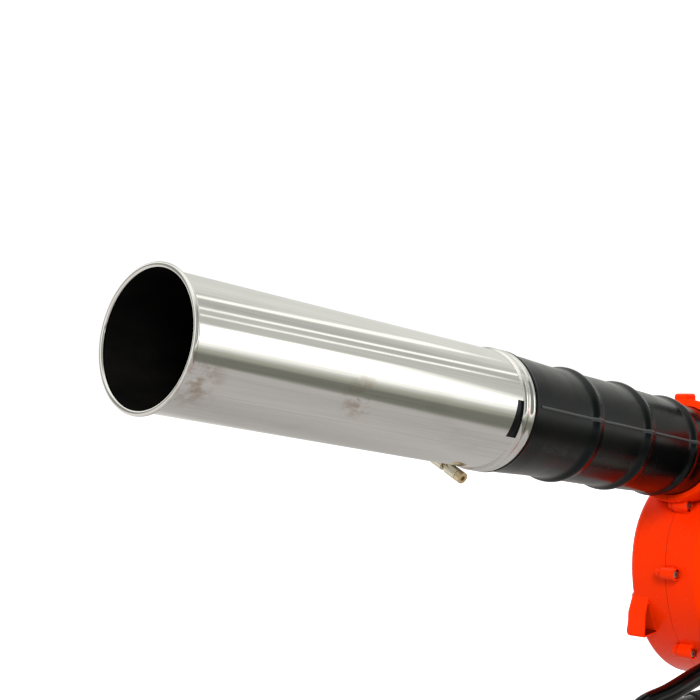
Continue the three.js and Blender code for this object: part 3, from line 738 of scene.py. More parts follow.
def scorched_look():
    """Muffler steel: straw and blue heat tints drifting over dull grey."""
    look = Look("scorched_steel")
    heat = look.noise(22.0, 4.0, roughness=0.6)
    look.color(look.ramp(heat, [(0.3, (0.09, 0.085, 0.08, 1)), (0.45, (0.2, 0.15, 0.1, 1)),
                                (0.58, (0.16, 0.12, 0.15, 1)), (0.72, (0.13, 0.14, 0.17, 1))]))
    look.gloss(look.levels(look.noise(90.0, 3.0), 0.3, 0.7, 0.36, 0.6))
    look.bump(look.noise(600.0, 3.0), 0.2, 0.0003, 0.0004)
    look.set(Metallic=1.0)
    return look.material


SCORCHED = scorched_look()
SCREW_STEEL = metal("screw_steel", (0.42, 0.4, 0.38, 1), rough=0.35)


def foam_look():
    """Open-celled filter foam."""
    look = Look("filter_foam")
    look.color(look.ramp(look.noise(220.0, 3.0), [(0.35, grey(0.02)), (0.65, grey(0.075))]))
    cells = look.node("ShaderNodeTexVoronoi")
    cells.inputs["Scale"].default_value = 700.0
    look.wire(look.node("ShaderNodeTexCoord").outputs["Object"], cells.inputs["Vector"])
    look.bump(cells.outputs["Distance"], 0.9, 0.0008)
    look.set(Roughness=0.95)
    return look.material


FOAM = foam_look()
# The look each record slot has unless a piece names its own.
LOOKS = {"black_plastic": BLACK_PLASTIC, "orange_plastic": ORANGE, "grey_plastic": GREY_PLASTIC,
         "red_plastic": RED_PLASTIC, "tank_plastic": TANK, "rubber": RUBBER, "painted_tube": PAINT,
         "ceramic": CERAMIC, "foam": FOAM, "zinc": ZINC, "gold_zinc": GOLD_ZINC, "aluminium": ALUMINIUM,
         "dark_steel": DARK_STEEL}


# ---------- nozzle and pipe ----------
PITCH = math.radians(9.27)
MOUTH = np.array([648.5, 0.0, 199.6])
ALONG = np.array([-math.cos(PITCH), 0.0, -math.sin(PITCH)])
DOWN = np.array([math.sin(PITCH), 0.0, -math.cos(PITCH)])
NEAR = np.array([0.0, 1.0, 0.0])


def on_axes(origin, u, v, w):
    def place(a, b, h):
        a, b, h = (np.asarray(q, float)[..., None] for q in (a, b, h))
        return origin + a * u + b * v + h * w

    return place


on_pipe = on_axes(MOUTH, NEAR, DOWN, ALONG)


def along_pipe(obj):
    """Gives a mesh the pipe line as its own Z, so that its textures run lengthwise."""
    basis = np.eye(4)
    basis[:3, 0], basis[:3, 1], basis[:3, 2] = NEAR, DOWN, ALONG
    basis[:3, 3] = row(MOUTH)
    matrix = Matrix([list(map(float, line)) for line in basis])
    obj.data.transform(matrix.inverted())
    obj.matrix_world = matrix
    return obj


def arc_window(name, r0, r1, low, high, t0, t1, slant=0.0):
    """A cutter through the tube wall between two angles; slant draws its low corner toward the mouth."""
    share = np.linspace(0, 1, 17)
    turns = np.radians(low + (high - low) * share)
    across = np.concatenate([r1 * np.sin(turns), r0 * np.sin(turns)[::-1]])
    down = np.concatenate([r1 * np.cos(turns), r0 * np.cos(turns)[::-1]])
    front = t0 - slant * (1 - share)
    front = np.concatenate([front, front[::-1]])
    count = len(across)
    points = list(on_pipe(across, down, front)) + list(on_pipe(across, down, np.full(count, t1)))
    faces = [(k, (k + 1) % count, count + (k + 1) % count, count + k) for k in range(count)]
    for k in range(16):
        faces.append((k, k + 1, count - 2 - k, count - 1 - k))
        faces.append((count + k, count + k + 1, 2 * count - 2 - k, 2 * count - 1 - k))
    return make(name, points, faces)


TUBE_R, TUBE_IN, TUBE_END = 45.0, 44.2, 326.0
CLAMP_ANGLE, CLAMP_T = -25.0, 310.0


def build_nozzle():
    bead = 46.6
    # The rolled lip is a round bead, open to the bore.
    lip = [(TUBE_IN, 2.4)]
    for k in range(13):
        turn = math.radians(-90 + 20 * k - 15)
        lip.append((46.35 + 2.0 * math.sin(turn), 2.0 - 2.0 * math.cos(turn)))
    lip += [(45.5, 4.0), (TUBE_R, 4.5)]
    beads = [(TUBE_R, 312.4), (45.5, 313.1), (46.4, 314.1), (bead, 315.2), (bead, 316.6), (46.3, 317.8),
             (45.6, 319.2), (45.5, 320), (45.6, 320.9), (46.3, 322.1), (bead, 323.2), (bead, 324.6),
             (46.2, 325.6), (45.6, TUBE_END), (TUBE_IN, TUBE_END), (TUBE_IN, 2.4)]
    stretch = [(TUBE_R, 4.5 + (312.4 - 4.5) * k / 12) for k in range(1, 12)]
    tube = lathe("nozzle_tube_skin", lip + stretch + beads, on_pipe, 256)
    cut(tube, arc_window("a", 42, 50, 62, 98, 306.5, 313, 4),
        arc_window("b", 42, 50, -118, -82, 306.5, 313, 4),
        arc_window("c", 42, 50, CLAMP_ANGLE - 2, CLAMP_ANGLE + 2, 288, TUBE_END + 2))
    along_pipe(tube)
    finish_piece(tube, "nozzle_steel", STEEL, BORE_SHADE)
    # The bore's faces take the near-black painted shade.
    middle = (TUBE_IN + 0.25) * MM
    for face in tube.data.polygons:
        c = face.center
        face.material_index = 1 if math.hypot(c.x, c.y) < middle and c.z > 2.3 * MM else 0


def build_clamp():
    angle = math.radians(CLAMP_ANGLE)
    outward = DOWN * math.cos(angle) + NEAR * math.sin(angle)
    across = NEAR * math.cos(angle) - DOWN * math.sin(angle)
    centre = MOUTH + ALONG * CLAMP_T + outward * (TUBE_R + 4.5 + GAP)
    on_clamp = on_axes(centre, ALONG, np.cross(ALONG, across), across)
    bolt_r, barrel_r = 2.0, 4.5
    for side, a, b in (("near", 2, 14), ("far", -14, -2)):
        bore = bolt_r + GAP
        profile = [(bore, a), (barrel_r, a), (barrel_r, b), (bore, b), (bore, a)]
        barrel = lathe(f"clamp_barrel_{side}_skin", profile, on_clamp, 48, 0.6)
        finish_piece(barrel, "zinc")
    bolt = lathe("clamp_bolt_skin", [(0, -20), (bolt_r, -20), (bolt_r, 14.3), (barrel_r, 14.3),
                                     (barrel_r, 19.4), (4.1, 19.6), (0, 19.6)], on_clamp, 48, 0.35)
    cut(bolt, lathe("socket", [(0, 16.5), (2.2, 16.5), (2.2, 22), (0, 22)], on_clamp, 6))
    finish_piece(bolt, "gold_zinc")
    nut = lathe("clamp_nut_skin", [(0, -18.3), (4.2, -18.3), (4.6, -17.9), (4.6, -14.7), (4.2, -14.3),
                                   (0, -14.3)], on_clamp, 6)
    cut(nut, lathe("bore", [(0, -19), (bolt_r + GAP, -19), (bolt_r + GAP, -14), (0, -14)], on_clamp, 32))
    finish_piece(nut, "zinc")


PIPE_END = 628.0
TAPER = [(330.6, 45.1), (348, 44.8), (380, 43.4), (450, 42.8), (510, 41.4), (545, 40.2), (570, 39.1),
         (600, 38.5), (640, 38.5)]
RIBS, RIB_RISE, RIB_HALF = (407.0, 477.0, 545.0), 2.6, 5.0
BEAD_PHI, BEAD_R, BEAD_SUNK = 96, 1.5, 0.9


def pipe_radius(t):
    return float(np.interp(t, [a for a, _ in TAPER], [r for _, r in TAPER]))


def pipe_outline():
    """The pipe's outer radius along its line, with its ribs swelling softly out of it."""
    out = [(43.5, 252.0), (43.7, 252.3), (43.9, 256.0), (43.9, 326.4), (45.9, 326.4), (46.4, 327.1),
           (46.6, 328.4), (46.3, 329.7), (45.7, 330.4), (45.1, 330.9)]
    for t in np.arange(332.0, PIPE_END + 0.1, 1.0):
        swell = sum(RIB_RISE * math.exp(-(abs(t - rib) / RIB_HALF) ** 2.2) for rib in RIBS)
        out.append((pipe_radius(t) + swell, float(t)))
    return out


def build_pipe():
    outer = pipe_outline()
    pipe = lathe("blower_pipe_skin", [(0, outer[0][1])] + outer + [(0, outer[-1][1])], on_pipe, 192)
    # The mould's parting line is a low bead along both sides.
    for turn in (math.radians(BEAD_PHI), math.radians(BEAD_PHI + 180)):
        sunk = [(r - BEAD_SUNK, t) for r, t in outer if 333 < t < 600]
        line = [on_pipe(r * math.sin(turn), r * math.cos(turn), t) for r, t in sunk]
        fuse(pipe, swept("ridge", line, BEAD_R, 20))
    bore = [(0, 250), (41.6, 250), (41.6, 252), (41.4, 340), (38.6, 510), (36.3, PIPE_END), (36.3, 640),
            (0, 640)]
    cut(pipe, lathe("bore", bore, on_pipe, 192), disc("sweep", 83, -60, 60, segments=160, soften=0))
    along_pipe(pipe)
    finish_piece(pipe, "black_plastic", PIPE_PLASTIC, RIDGE_HIGHLIGHT)
    # The bead is given a paler colour than the pipe: a painted highlight along the parting line.
    for face in pipe.data.polygons:
        c = face.center
        turn = math.degrees(math.atan2(c.x, c.y)) % 180
        proud = math.hypot(c.x, c.y) > (pipe_radius(c.z / MM) + 0.12) * MM
        face.material_index = int(proud and abs(turn - BEAD_PHI) < 2.2 and c.z > 332 * MM)


build_nozzle()
build_clamp()
build_pipe()


# ---------- fan housing ----------
FAR_Y, NEAR_Y, WALL, TONGUE = -38.0, 34.0, 3.0, 45.0


def scroll_radius(wrap):
    return 92 + 3.4 * math.exp(-(((wrap - 20) / 25) ** 2)) + 47 * (wrap / 315) ** 2.2


def scroll_outline(offset, steps=210):
    out = []
    for i in range(steps + 1):
        wrap = 315 * i / steps
        a = math.radians(TONGUE - wrap)
        r = scroll_radius(wrap) + offset
        out.append((r * math.cos(a), r * math.sin(a)))
    reach = 42 + offset
    out.append((reach, scroll_radius(315) + offset + reach * math.tan(PITCH) - 2))
    out.append((reach + 16, 82))
    return np.array(out)


def polar(r, degrees):
    return r * math.cos(math.radians(degrees)), r * math.sin(math.radians(degrees))


BOSSES = [polar(scroll_radius(TONGUE - a) + 4.2, a) for a in (37, 1.5, -43, -90, -138, -186)]
OUTLET = [(0, 560), (45.5, 560), (45.5, 640), (42, 664), (33, 690), (0, 704)]
DUCT = [(0, 555), (39.4, 555), (39.4, 640), (36, 662), (29, 684), (0, 696)]
SCREW_R, HEAD_R = 1.9, 3.5


# The hollow of the wedge below the housing: radius and angle of its corners, and where it ends.
POCKET = ((95.4, -15.4), (102.4, -20.9), (110.6, -29.0), (95.2, -33.2))
POCKET_END = -36


def in_pocket(r, y, turn):
    """Whether a point lies on the pocket's walls or end, given in polar form about the crank axis."""
    if not POCKET_END - 0.1 < y < -19.2 or not -33.6 < turn < -15.0:
        return False
    outer = np.interp(-turn, [-angle for _, angle in POCKET], [r_at for r_at, _ in POCKET[:3]] + [110.6])
    return 94.9 < r < outer + 0.2


def build_volute():
    shell = slab("volute", scroll_outline(0), FAR_Y, NEAR_Y, 7, 8)
    outlet = lathe("outlet", softened(OUTLET, 30, 8), on_pipe, 160)
    lug = cushion("lug", 17.7, 33.7, -32, -19, 118, 153.5, 3, 1.8)
    corners = [polar(91, -11), polar(103, -19.5), polar(112.8, -29.4), polar(88, -36), polar(86, -14)]
    wedge = cut(slab("wedge", rounded(corners, 1.5), FAR_Y, -13, 3.6, 6),
                block("end", 60, 140, -19, 0, -90, 0))
    bosses = []
    for x, z in BOSSES:
        turn = math.degrees(math.atan2(z, x))
        for half, low, high in ((3.7, -5.4, 2), (5.6, -0.5, 14)):
            outline = rounded([(-10, -half), (0.1, -half), (0.1, half), (-10, half)], 0.1)
            root = slab("root", outline, low, high, 0.9, 4)
            bosses.append(fuse(disc("boss", half, low, high, segments=48, soften=0.9), root))
            spun(bosses[-1], -turn)
            for vertex in bosses[-1].data.vertices:
                vertex.co.x += x * MM
                vertex.co.z += z * MM
    fuse(shell, outlet, lug, wedge, *bosses)
    # The wedge is a thin-walled tab, open toward the near side.
    pocket = [polar(r, angle) for r, angle in POCKET]
    cut(shell, slab("pocket", rounded(pocket, 1.0), POCKET_END, -10))
    slope = math.atan(0.54) - PITCH
    foot = MOUTH + ALONG * 571 + DOWN * 45.5
    rise = np.array([-math.sin(slope), math.cos(slope)])
    base = foot[[0, 2]]
    low, high = base - rise / rise[1], base + rise * 130
    ahead = slab("ahead", [low, low + [200, 0], high + [200, 0], high], -80, 80)
    hollow = slab("hollow", scroll_outline(-WALL), FAR_Y + WALL, NEAR_Y - WALL, 4, 6)
    cut(shell, hollow, lathe("duct", softened(DUCT, 26, 8), on_pipe, 160), ahead)
    cut(shell, disc("intake", 46, FAR_Y - 5, FAR_Y + 8, segments=128, soften=0),
        disc("shaft_hole", 12, 20, NEAR_Y + 5, segments=64, soften=0))
    for x, z in BOSSES:
        cut(shell, disc("hole", SCREW_R + GAP, -20, 20, x, z, 24, 0),
            disc("sink", HEAD_R + 0.4, 11, 20, x, z, 40, 0))
    near = copied(shell, "volute_near_half_skin")
    # Round cutters leave the seam faces as plain sectors, with no holes in them.
    cut(near, disc("under", 400, -100, GAP / 2, segments=72, soften=0))
    cut(shell, disc("over", 400, -GAP / 2, 100, segments=72, soften=0))
    shell.name = "volute_far_half_skin"
    finish_piece(shell, "orange_plastic", ORANGE, ORANGE_PAINTED_SHADE, sharp=28)
    # The pocket's walls and end get the dark red painted shade.
    for face in shell.data.polygons:
        x, y, z = np.array(face.center) / MM - FROM_CRANK
        face.material_index = int(in_pocket(math.hypot(x, z), y, math.degrees(math.atan2(z, x))))
    finish_piece(near, "orange_plastic", sharp=28)
    for i, (x, z) in enumerate(BOSSES):
        profile = [(0, -4.6), (SCREW_R, -4.6), (SCREW_R, 11.3), (HEAD_R, 11.3), (HEAD_R, 13.2), (2.4, 14),
                   (0, 14)]
        screw = lathe(f"volute_screw_{i + 1}_skin", profile, about_y(x, z), 40, 0.3)
        for turn in (0, 90):
            slot = block("slot", x - 2.2, x + 2.2, 12.8, 15, z - 0.45, z + 0.45)
            cut(screw, spun(slot, 20 * i + turn, x, z))
        finish_piece(screw, "dark_steel", SCREW_STEEL)


build_volute()


# ---------- stand ----------
STAND_R, STAND_Z = 8.0, -140.0
STAND_LINE = [
    (60, 52, -64), (103, 40, -77.5), (144, 38, -87), (176, 35, -93), (196, 33, -105), (204, 31, -125),
    (206, 20, -138), (206, 0, STAND_Z), (206, -30, STAND_Z), (196, -54, STAND_Z), (172, -62, STAND_Z),
    (100, -62, STAND_Z), (0, -62, STAND_Z), (-84, -62, STAND_Z), (-108, -54, STAND_Z), (-118, -30, STAND_Z),
    (-118, 20, STAND_Z), (-118, 80, STAND_Z), (-118, 108, -137), (-117, 120, -118), (-112, 112, -94),
    (-104, 92, -82), (-100, 76, -80),
]


def stand_bar(name, radius, sides=32):
    return swept(name, smooth_line(STAND_LINE, 352), radius, sides)


def build_stand():
    # The steel tube shows clean floor low down, so the stand and its sleeves leave no mirror image.
    tube = finish_piece(stand_bar("stand_tube_skin", STAND_R, 40), "painted_tube")
    tube.visible_glossy = False
    fit = STAND_R + GAP + 0.1
    arm = cushion("bracket_front_skin", 50, 76, 40, 64, -78, -46, 5, 2.4)
    fuse(arm, cushion("upper", 30, 60, 38, 58, -56, -30, 5, 2.4))
    cut(arm, stand_bar("fit", fit), disc("bell", 50.2, 30, 62, segments=128, soften=0),
        block("tank_room", 20, 48, 49, 70, -80, -49.6))
    finish_piece(arm, "black_plastic")
    clasp = cushion("bracket_rear_skin", -114, -85 - GAP, 62, 96, -96, -66, 5, 2.4)
    cut(clasp, stand_bar("fit", fit))
    finish_piece(clasp, "black_plastic")
    half = STAND_R + 3
    places = {"front": ("y", 206, -26, -4), "rear": ("y", -118, 40, 70), "side_front": ("x", -62, 120, 150),
              "side_rear": ("x", -62, -70, -40)}
    for key, (run, at, low, high) in places.items():
        place = about_y(at, STAND_Z) if run == "y" else about_x(at, STAND_Z)
        profile = [(0, low), (half, low), (half, high), (0, high)]
        foot = lathe(f"rubber_foot_{key}_skin", profile, place, 64, 1.2)
        cut(foot, stand_bar("fit", fit), block("floor_cut", -400, 400, -200, 200, FLOOR_Z - 30, FLOOR_Z))
        finish_piece(foot, "rubber")
        foot.visible_glossy = False


build_stand()


# ---------- intake side and everything that turns with the crank ----------
def bar(name, length, height, depth, offset, y, degrees, r=0.6, x=0.0, z=0.0):
    """A rounded bar pointing outward from the line through (x, z), turned to its place."""
    half = depth / 2
    piece = cushion(name, x + offset - length / 2, x + offset + length / 2, y - height / 2, y + height / 2,
                    z - half, z + half, min(r, half * 0.9), min(r, height * 0.4), 3)
    return spun(piece, degrees, x, z)


def build_grille():
    rim = ring("intake_grille_skin", 50, 60, FAR_Y - 7, FAR_Y - GAP, segments=128, soften=1.4)
    rings = [ring("hoop", r - 1.5, r + 1.5, FAR_Y - 6.5, FAR_Y - 3, soften=0.8) for r in (37.5, 24.5)]
    hub = disc("hub", 12, FAR_Y - 7.5, FAR_Y - 3, soften=1.4)
    spokes = [bar("spoke", 46, 3, 3, 31, FAR_Y - 4.8, 60 * i, 0.9) for i in range(6)]
    fuse(rim, *rings, hub, *spokes)
    finish_piece(rim, "black_plastic")


def curved_blade(name, degrees):
    """A backward-curved fan blade standing on the impeller's disc."""
    inner, outer, thick, steps = 30.0, 76.5, 2.0, 18
    line = []
    for k in range(steps + 1):
        r = inner + (outer - inner) * k / steps
        lean = math.radians(26 * ((k / steps) ** 1.2) - 10)
        line.append((r * math.cos(lean), r * math.sin(lean)))
    line = np.array(line)
    ahead = np.gradient(line, axis=0)
    ahead = ahead / np.linalg.norm(ahead, axis=1, keepdims=True)
    side = np.stack([-ahead[:, 1], ahead[:, 0]], 1) * thick / 2
    outline = np.concatenate([line + side, (line - side)[::-1]])
    return spun(slab(name, outline, -25, 20.6, 0.5, 2), degrees)


def build_crank_train():
    shaft = disc("crankshaft_skin", 7, -24, 112, segments=64, soften=0.8)
    finish_piece(shaft, "dark_steel", body="crank_train")
    fan = ring("impeller_skin", 7 + GAP, 78, 20, 23, segments=128, soften=0.5)
    fuse(fan, ring("hub", 7 + GAP, 14, -22, 23, segments=96, soften=1.0))
    fuse(fan, *[curved_blade("blade", 36 * i) for i in range(10)])
    finish_piece(fan, "black_plastic", body="crank_train")
    wheel = ring("flywheel_skin", 7 + GAP, 40, 44, 54, segments=128, soften=1.0)
    fuse(wheel, ring("hub", 7 + GAP, 13, 40, 54, segments=96, soften=0.8))
    fuse(wheel, *[bar("fin", 16, 6, 2, 29, 42, 45 * i, 0.6) for i in range(8)])
    finish_piece(wheel, "aluminium", body="crank_train")
    cup = ring("starter_cup_skin", 7 + GAP, 18, 105.5, 111, segments=96, soften=0.7)
    finish_piece(cup, "zinc", body="crank_train")


# ---------- engine ----------
CYL_Y, CASE_TOP = 82.0, 31.0


def stem_z(name, profile, x=0.0, y=CYL_Y, segments=64, soften=0.0):
    return lathe(name, profile, about_z(x, y), segments, soften)


def stem_x(name, profile, y, z, segments=64, soften=0.0):
    return lathe(name, profile, about_x(y, z), segments, soften)


def build_bell():
    profile = [(12, 57), (46, 57), (46, NEAR_Y + GAP), (49, NEAR_Y + GAP), (49, 59.7), (12, 59.7), (12, 57)]
    bell = lathe("flywheel_housing_skin", profile, about_y(0, 0), 128, 0.7)
    cut(bell, block("coil_room", -21, 21, 39, 55.6, 36, 60),
        block("cylinder_room", -32, 32, 55, 62, 30, 60))
    finish_piece(bell, "black_plastic")


def build_engine():
    case = cushion("crankcase_skin", -32, 32, 60, 104, -38, 10, 14, 3.5)
    fuse(case, plate_z("neck", -26, 26, 62, 102, 0, CASE_TOP, 5, 0.8))
    cut(case, disc("bore", 7 + GAP, 55, 110, segments=64, soften=0))
    finish_piece(case, "aluminium")
    top = CASE_TOP + GAP
    barrel = stem_z("cylinder_skin", [(0, top), (21, top), (21, 96), (15, 104), (0, 104)], segments=96,
                    soften=2.0)
    fins = []
    for i in range(6):
        z = 46 + i * 9.4
        half = 23 if i > 4 else 26
        fins.append(plate_z("fin", -half - 4, half + 4, CYL_Y - half, CYL_Y + half, z, z + 3, 7, 1.1))
    fuse(barrel, *fins)
    fuse(barrel, plate_x("intake_port", -30, -20, 70, 94, 52, 78, 4, 0.6),
         plate_x("exhaust_port", 20, 30, 70, 94, 52, 78, 4, 0.6))
    cut(barrel, stem_z("plug_hole", [(0, 92), (5.4, 92), (5.4, 110), (0, 110)], segments=48))
    finish_piece(barrel, "aluminium")
    ribs = [(4.4, 112), (4.4, 113.6), (3.9, 114.2), (4.4, 114.8), (4.4, 116.4), (3.9, 117), (4.4, 117.6),
            (4.4, 122)]
    plug = stem_z("spark_plug_skin", [(0, 93), (5, 93), (5, 104.4), (7, 104.4), (7, 106)] + ribs
                  + [(2.6, 124), (2.6, 129), (0, 129)], segments=48)
    fuse(plug, stem_z("hexagon", [(0, 105), (8.6, 105), (9, 105.4), (9, 110.6), (8.6, 111), (0, 111)],
                      segments=6))
    finish_piece(plug, "ceramic")
    boot = stem_z("spark_plug_boot_skin", [(0, 114), (8.5, 114), (8.5, 134), (6, 138), (0, 138)],
                  soften=1.6)
    tail = softened([(0, 60), (5, 60), (6, 66), (6, 82), (0, 82)], 1.0)
    fuse(boot, lathe("tail", tail, about_y(0, 131), 64))
    cut(boot, stem_z("room", [(0, 100), (4.8, 100), (4.8, 124.4), (3, 124.4), (3, 129.5), (0, 129.5)]))
    finish_piece(boot, "rubber")
    coil = cushion("ignition_coil_skin", -18, 18, 43, 54, 49, 66, 3, 1.4)
    fuse(coil, cushion("leg_a", -18, -10, 44, 53, 41, 52, 1, 0.6),
         cushion("leg_b", 10, 18, 44, 53, 41, 52, 1, 0.6))
    finish_piece(coil, "black_plastic")
    lead = [(0, 47, 66.4), (0, 46.5, 84), (0, 46, 112), (0, 49, 128), (0, 54, 131), (0, 59.6, 131)]
    finish_piece(swept("ignition_lead_skin", smooth_line(lead, 90), 2.5, 24), "rubber")


def build_exhaust():
    box = cushion("muffler_skin", 36, 80, 60, 104, 42, 96, 8, 5.5)
    fuse(box, plate_x("port", 30 + GAP, 40, 70, 94, 52, 78, 4, 0.6),
         stem_x("tail_pipe", [(0, 78), (5, 78), (5, 84), (0, 84)], 92, 84, 48, 0.4),
         cushion("seam", 35.4, 80.6, 81, 83, 41.4, 96.6, 8.4, 0.7))
    cut(box, stem_x("bore", [(0, 79), (4, 79), (4, 90), (0, 90)], 92, 84, 48))
    finish_piece(box, "dark_steel", SCORCHED)
    guard = cushion("muffler_guard_skin", 35, 92, 54, 111, 34, 103, 8, 3.2)
    cut(guard, cushion("inside", 20, 89.5, 57, 108, 37, 100, 5, 1.5))
    for i in range(5):
        z = 43 + i * 11
        cut(guard, slab("side", round_rect(63, 102, z, z + 6, 2.6), 80, 100, place=flat_x),
            slab("face", round_rect(46, 80, z, z + 6, 2.6), 100, 120))
    for i in range(4):
        cut(guard, slab("roof", round_rect(45 + i * 10, 51 + i * 10, 63, 102, 2.6), 95, 110, place=flat_z))
    finish_piece(guard, "black_plastic")


PRIMER = (-58.0, 60.0)
CHOKE = (-54.0, 76.0)


def build_intake():
    finish_piece(cushion("insulator_skin", -42, -30 - GAP, 69, 95, 51, 79, 4, 1.2), "red_plastic")
    body = cushion("carburettor_skin", -75, -42 - GAP, 68, 98, 48, 82, 4, 1.8)
    fuse(body, cushion("bowl", -70, -48, 74, 92, 44, 50, 3, 1.2))
    cut(body, disc("primer_seat", 9.3, 93, 100, *PRIMER, soften=0),
        stem_x("throat", [(0, -80), (8, -80), (8, -50), (0, -50)], 82, 68))
    finish_piece(body, "aluminium")
    dome = [(0, 97), (8.6, 97), (8.6, 99.6), (8.0, 100.6), (7.8, 102.6), (7.0, 104.8), (5.6, 106.6),
            (3.4, 107.9), (1.6, 108.3), (0, 108.4)]
    finish_piece(lathe("primer_bulb_skin", dome, about_y(*PRIMER), 64), "rubber", body="primer")
    lever = disc("choke_lever_skin", 5, 98 + GAP, 102, *CHOKE, soften=0.7)
    fuse(lever, slab("blade", round_rect(-56.5, -51.5, 76, 100, 2.4), 98 + GAP, 101.6, 0.7, 3))
    finish_piece(lever, "grey_plastic", body="choke")
    base = cushion("filter_base_skin", -81, -75 - GAP, 52, 112, 34, 100, 2.4, 1.2)
    cut(base, stem_x("throat", [(0, -90), (9, -90), (9, -70), (0, -70)], 82, 68))
    finish_piece(base, "black_plastic")
    finish_piece(cushion("filter_element_skin", -98, -81 - GAP, 57, 107, 39, 95, 6, 2.4), "foam")
    cover = cushion("filter_cover_skin", -108, -81 - GAP, 52, 112, 34, 100, 8, 4.4, 7)
    inner = plate_x("inside", -103, -70, 55.5, 108.5, 37.5, 96.5, 5, 1.5)
    cut(cover, inner, stem_x("knob_hole", [(0, -115), (3.4, -115), (3.4, -100), (0, -100)], 82, 67, 32))
    for z in (44.5, 51.0, 83.0, 89.5):
        cut(cover, plate_x("groove", -110, -107.2, 60, 104, z - 1.1, z + 1.1, 1.0, 0.4))
    finish_piece(cover, "orange_plastic")
    knob = stem_x("filter_knob_skin", [(0, -117), (8, -117), (9, -115), (9, -109), (6, -108 - GAP),
                                       (3, -108 - GAP), (3, -100), (0, -100)], 82, 67, 64, 0.6)
    fuse(knob, plate_x("grip", -120, -115, 80.4, 83.6, 60, 74, 1.4, 0.8))
    finish_piece(knob, "black_plastic", body="air_filter_knob")


def build_starter():
    profile = [(41.5, 104 + GAP), (44, 104 + GAP), (44, 122), (39, 129), (0, 131), (0, 128.3), (38, 126.4),
               (41.5, 121), (41.5, 104 + GAP)]
    shell = lathe("starter_housing_skin", softened(profile, 2.2, 5), about_y(0, 0), 160)
    fuse(shell, disc("post", 4, 113, 130, soften=0))
    cut(shell, *[bar("slot", 16, 12, 4.6, 27, 128, 45 * i, 2.2) for i in range(8)])
    fuse(shell, cushion("ear_rear", -44, -33, 104.6, 110, -8, 8, 2, 0.8),
         cushion("ear_front", 33, 44, 104.6, 110, -8, 8, 2, 0.8))
    cut(shell, stem_z("rope_hole", [(0, 36), (2.4, 36), (2.4, 48), (0, 48)], 0, 117, 32))
    finish_piece(shell, "orange_plastic")
    reel = [(4 + GAP, 113), (24, 113), (24, 115), (20, 116), (20, 118), (24, 119), (24, 121),
            (4 + GAP, 121), (4 + GAP, 113)]
    finish_piece(lathe("starter_pulley_skin", reel, about_y(0, 0), 96, 0.4), "grey_plastic", body="pulley")
    grip = cushion("starter_handle_skin", -20, 20, 112, 122, 49, 61, 5.5, 3.6, 7)
    fuse(grip, stem_z("stem", [(0, 44 + GAP), (4.5, 44 + GAP), (5.5, 50), (0, 50)], 0, 117, 48))
    finish_piece(grip, "black_plastic", body="starter_grip")


def build_hood():
    hood = cushion("cylinder_cover_skin", -35, 33.5, 51, 111, 98, 146, 12, 5.5, 8)
    cut(hood, cushion("inside", -32, 30.5, 54, 108, 80, 141, 9, 3),
        block("lead_notch", -5, 5, 40, 60, 120, 137))
    for i in range(5):
        cut(hood, slab("vent", round_rect(-25 + i * 11, -20 + i * 11, 66, 98, 2.2), 130, 150, place=flat_z))
    finish_piece(hood, "orange_plastic")


# ---------- fuel ----------
NECK = (-52.0, -78.0)


def build_fuel():
    tank = cushion("fuel_tank_skin", -85, 46, 50, 118, -118, -50, 14, 9, 9)
    cut(tank, cushion("inside", -82, 43, 53, 115, -115, -53, 11, 6))
    fuse(tank, disc("neck", 15, 114, 122, *NECK, segments=96, soften=0.8))
    fuse(tank, ring("neck_foot", 13, 17, 117, 118.4, *NECK, soften=0.5))
    cut(tank, disc("neck_bore", 12, 100, 130, *NECK, segments=96, soften=0))
    finish_piece(tank, "tank_plastic")
    profile = [(15 + GAP, 118.6), (19, 118.6), (19, 130), (17, 132), (0, 132), (0, 122 + GAP),
               (15 + GAP, 122 + GAP), (15 + GAP, 118.6)]
    cap = lathe("fuel_cap_skin", profile, about_y(*NECK), 128, 0.8)
    grip = round_rect(NECK[0] - 15, NECK[0] + 15, NECK[1] - 2, NECK[1] + 2, 1.9)
    fuse(cap, slab("grip", grip, 131, 137, 1.2, 4))
    notches = []
    for i in range(24):
        x, z = polar(19.9, 15 * i)
        notches.append(disc("notch", 1.3, 120.5, 128.8, NECK[0] + x, NECK[1] + z, 20, 0))
    cut(cap, *notches)
    finish_piece(cap, "black_plastic", body="tank_cap")
    line = [(-60, 84, -49.6), (-60, 84, -42), (-64, 92, -20), (-62, 92, 15), (-59, 83, 36), (-59, 83, 43.6)]
    finish_piece(swept("fuel_line_skin", smooth_line(line, 90), 2.3, 24), "rubber")


# ---------- top handle and controls ----------
HANDLE_Y0, HANDLE_Y1 = 6.0, 36.0
OUTER_RING = [(24, 118), (32, 150), (30, 186), (16, 216), (-14, 232), (-78, 234), (-128, 222), (-156, 190),
              (-160, 146), (-146, 100), (-120, 66), (-90, 78), (-60, 112), (-20, 120)]
FINGER_GAP = [(2, 172), (-8, 196), (-34, 204), (-80, 206), (-112, 198), (-130, 174), (-128, 156),
              (-84, 150), (-20, 154)]
TRIGGER = [(-12, 212), (-10, 203), (-20, 194), (-36, 190), (-54, 189), (-60, 194), (-50, 200), (-30, 208),
           (-20, 215)]


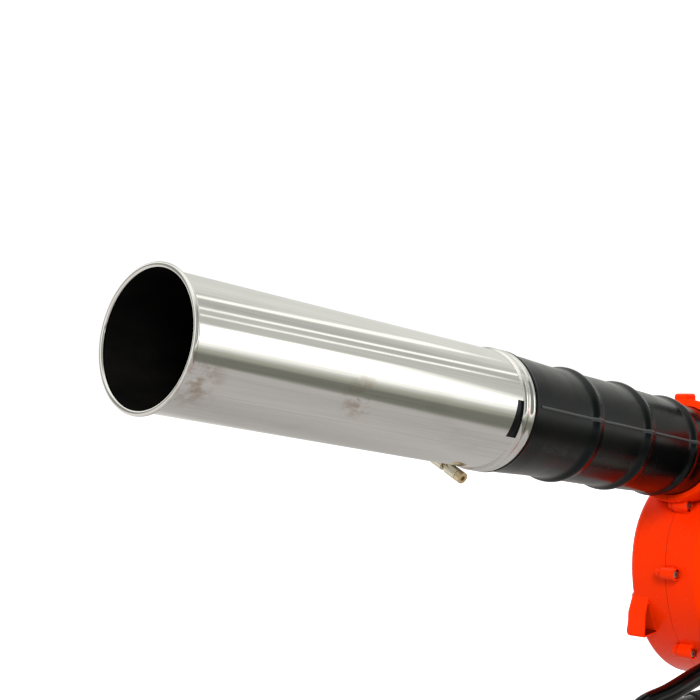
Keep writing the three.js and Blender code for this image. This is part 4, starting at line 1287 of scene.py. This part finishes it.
def handle_body(name, bevel=7.0):
    """The handle's closed ring: outer line, finger gap, both edges well rounded."""
    outer = closed_line(OUTER_RING, 16)
    body = slab(name, outer, HANDLE_Y0, HANDLE_Y1, bevel, 8)
    gap = closed_line(FINGER_GAP, 16)
    # The gap's cutter flares at both faces, so that the inner edge is as round as the outer one.
    levels = edge_levels(HANDLE_Y0, HANDLE_Y1, bevel, 8)
    levels = [(HANDLE_Y0 - 4, bevel)] + levels + [(HANDLE_Y1 + 4, bevel)]
    points = []
    for h, amount in levels:
        wide = inset(gap, -amount)
        points.extend(flat_y(wide[:, 0], wide[:, 1], np.full(len(gap), h)))
    return cut(body, make("gap", points, stack_faces(len(levels), len(gap))))


def build_handle():
    body = handle_body("top_handle_skin")
    seat = slab("seat", scroll_outline(GAP + 0.1), FAR_Y - 1, NEAR_Y + 0.4)
    outlet = [(0, 560), (46, 560), (46, 640), (42.5, 664), (33.5, 691), (0, 706)]
    cut(body, seat, lathe("outlet_seat", outlet, on_pipe, 128))
    cut(body, block("flank", -170, 60, NEAR_Y, HANDLE_Y1 + 5, 40, 142),
        block("slot", -64, -6, 15, 27, 190, 225), disc("button_hole", 5.3, 26, 40, 14, 186, 48, 0))
    for i in range(7):
        x = -46 - i * 9
        cut(body, plate_z("grip_groove", x - 1.3, x + 1.3, 0, 42, 232.6, 240, 1.2, 0.3))
    finish_piece(body, "black_plastic")
    trigger = slab("throttle_trigger_skin", closed_line(TRIGGER, 14), 15.6, 26.4, 2.2, 6)
    finish_piece(trigger, "grey_plastic", body="trigger")
    lever = disc("cruise_lever_skin", 6, HANDLE_Y1 + GAP, HANDLE_Y1 + 4, -8, 214, soften=0.8)
    fuse(lever, slab("blade", round_rect(-11, -5, 214, 240, 2.8), HANDLE_Y1 + GAP, HANDLE_Y1 + 3.6, 1.1, 4))
    finish_piece(lever, "grey_plastic", body="cruise")
    button = disc("stop_switch_skin", 5, 31, 39, 14, 186, soften=1.2)
    cut(button, disc("dish", 3.4, 38.5, 42, 14, 186, soften=0))
    finish_piece(button, "red_plastic", body="stop_button")
    cable = [(-70, 39, 152), (-72, 46, 146), (-68, 66, 124), (-60, 80, 102), (-59, 82, 82.8)]
    finish_piece(swept("throttle_cable_skin", smooth_line(cable, 90), 2.1, 24), "rubber")


build_grille()
build_crank_train()
build_bell()
build_engine()
build_exhaust()
build_intake()
build_starter()
build_hood()
build_fuel()
build_handle()
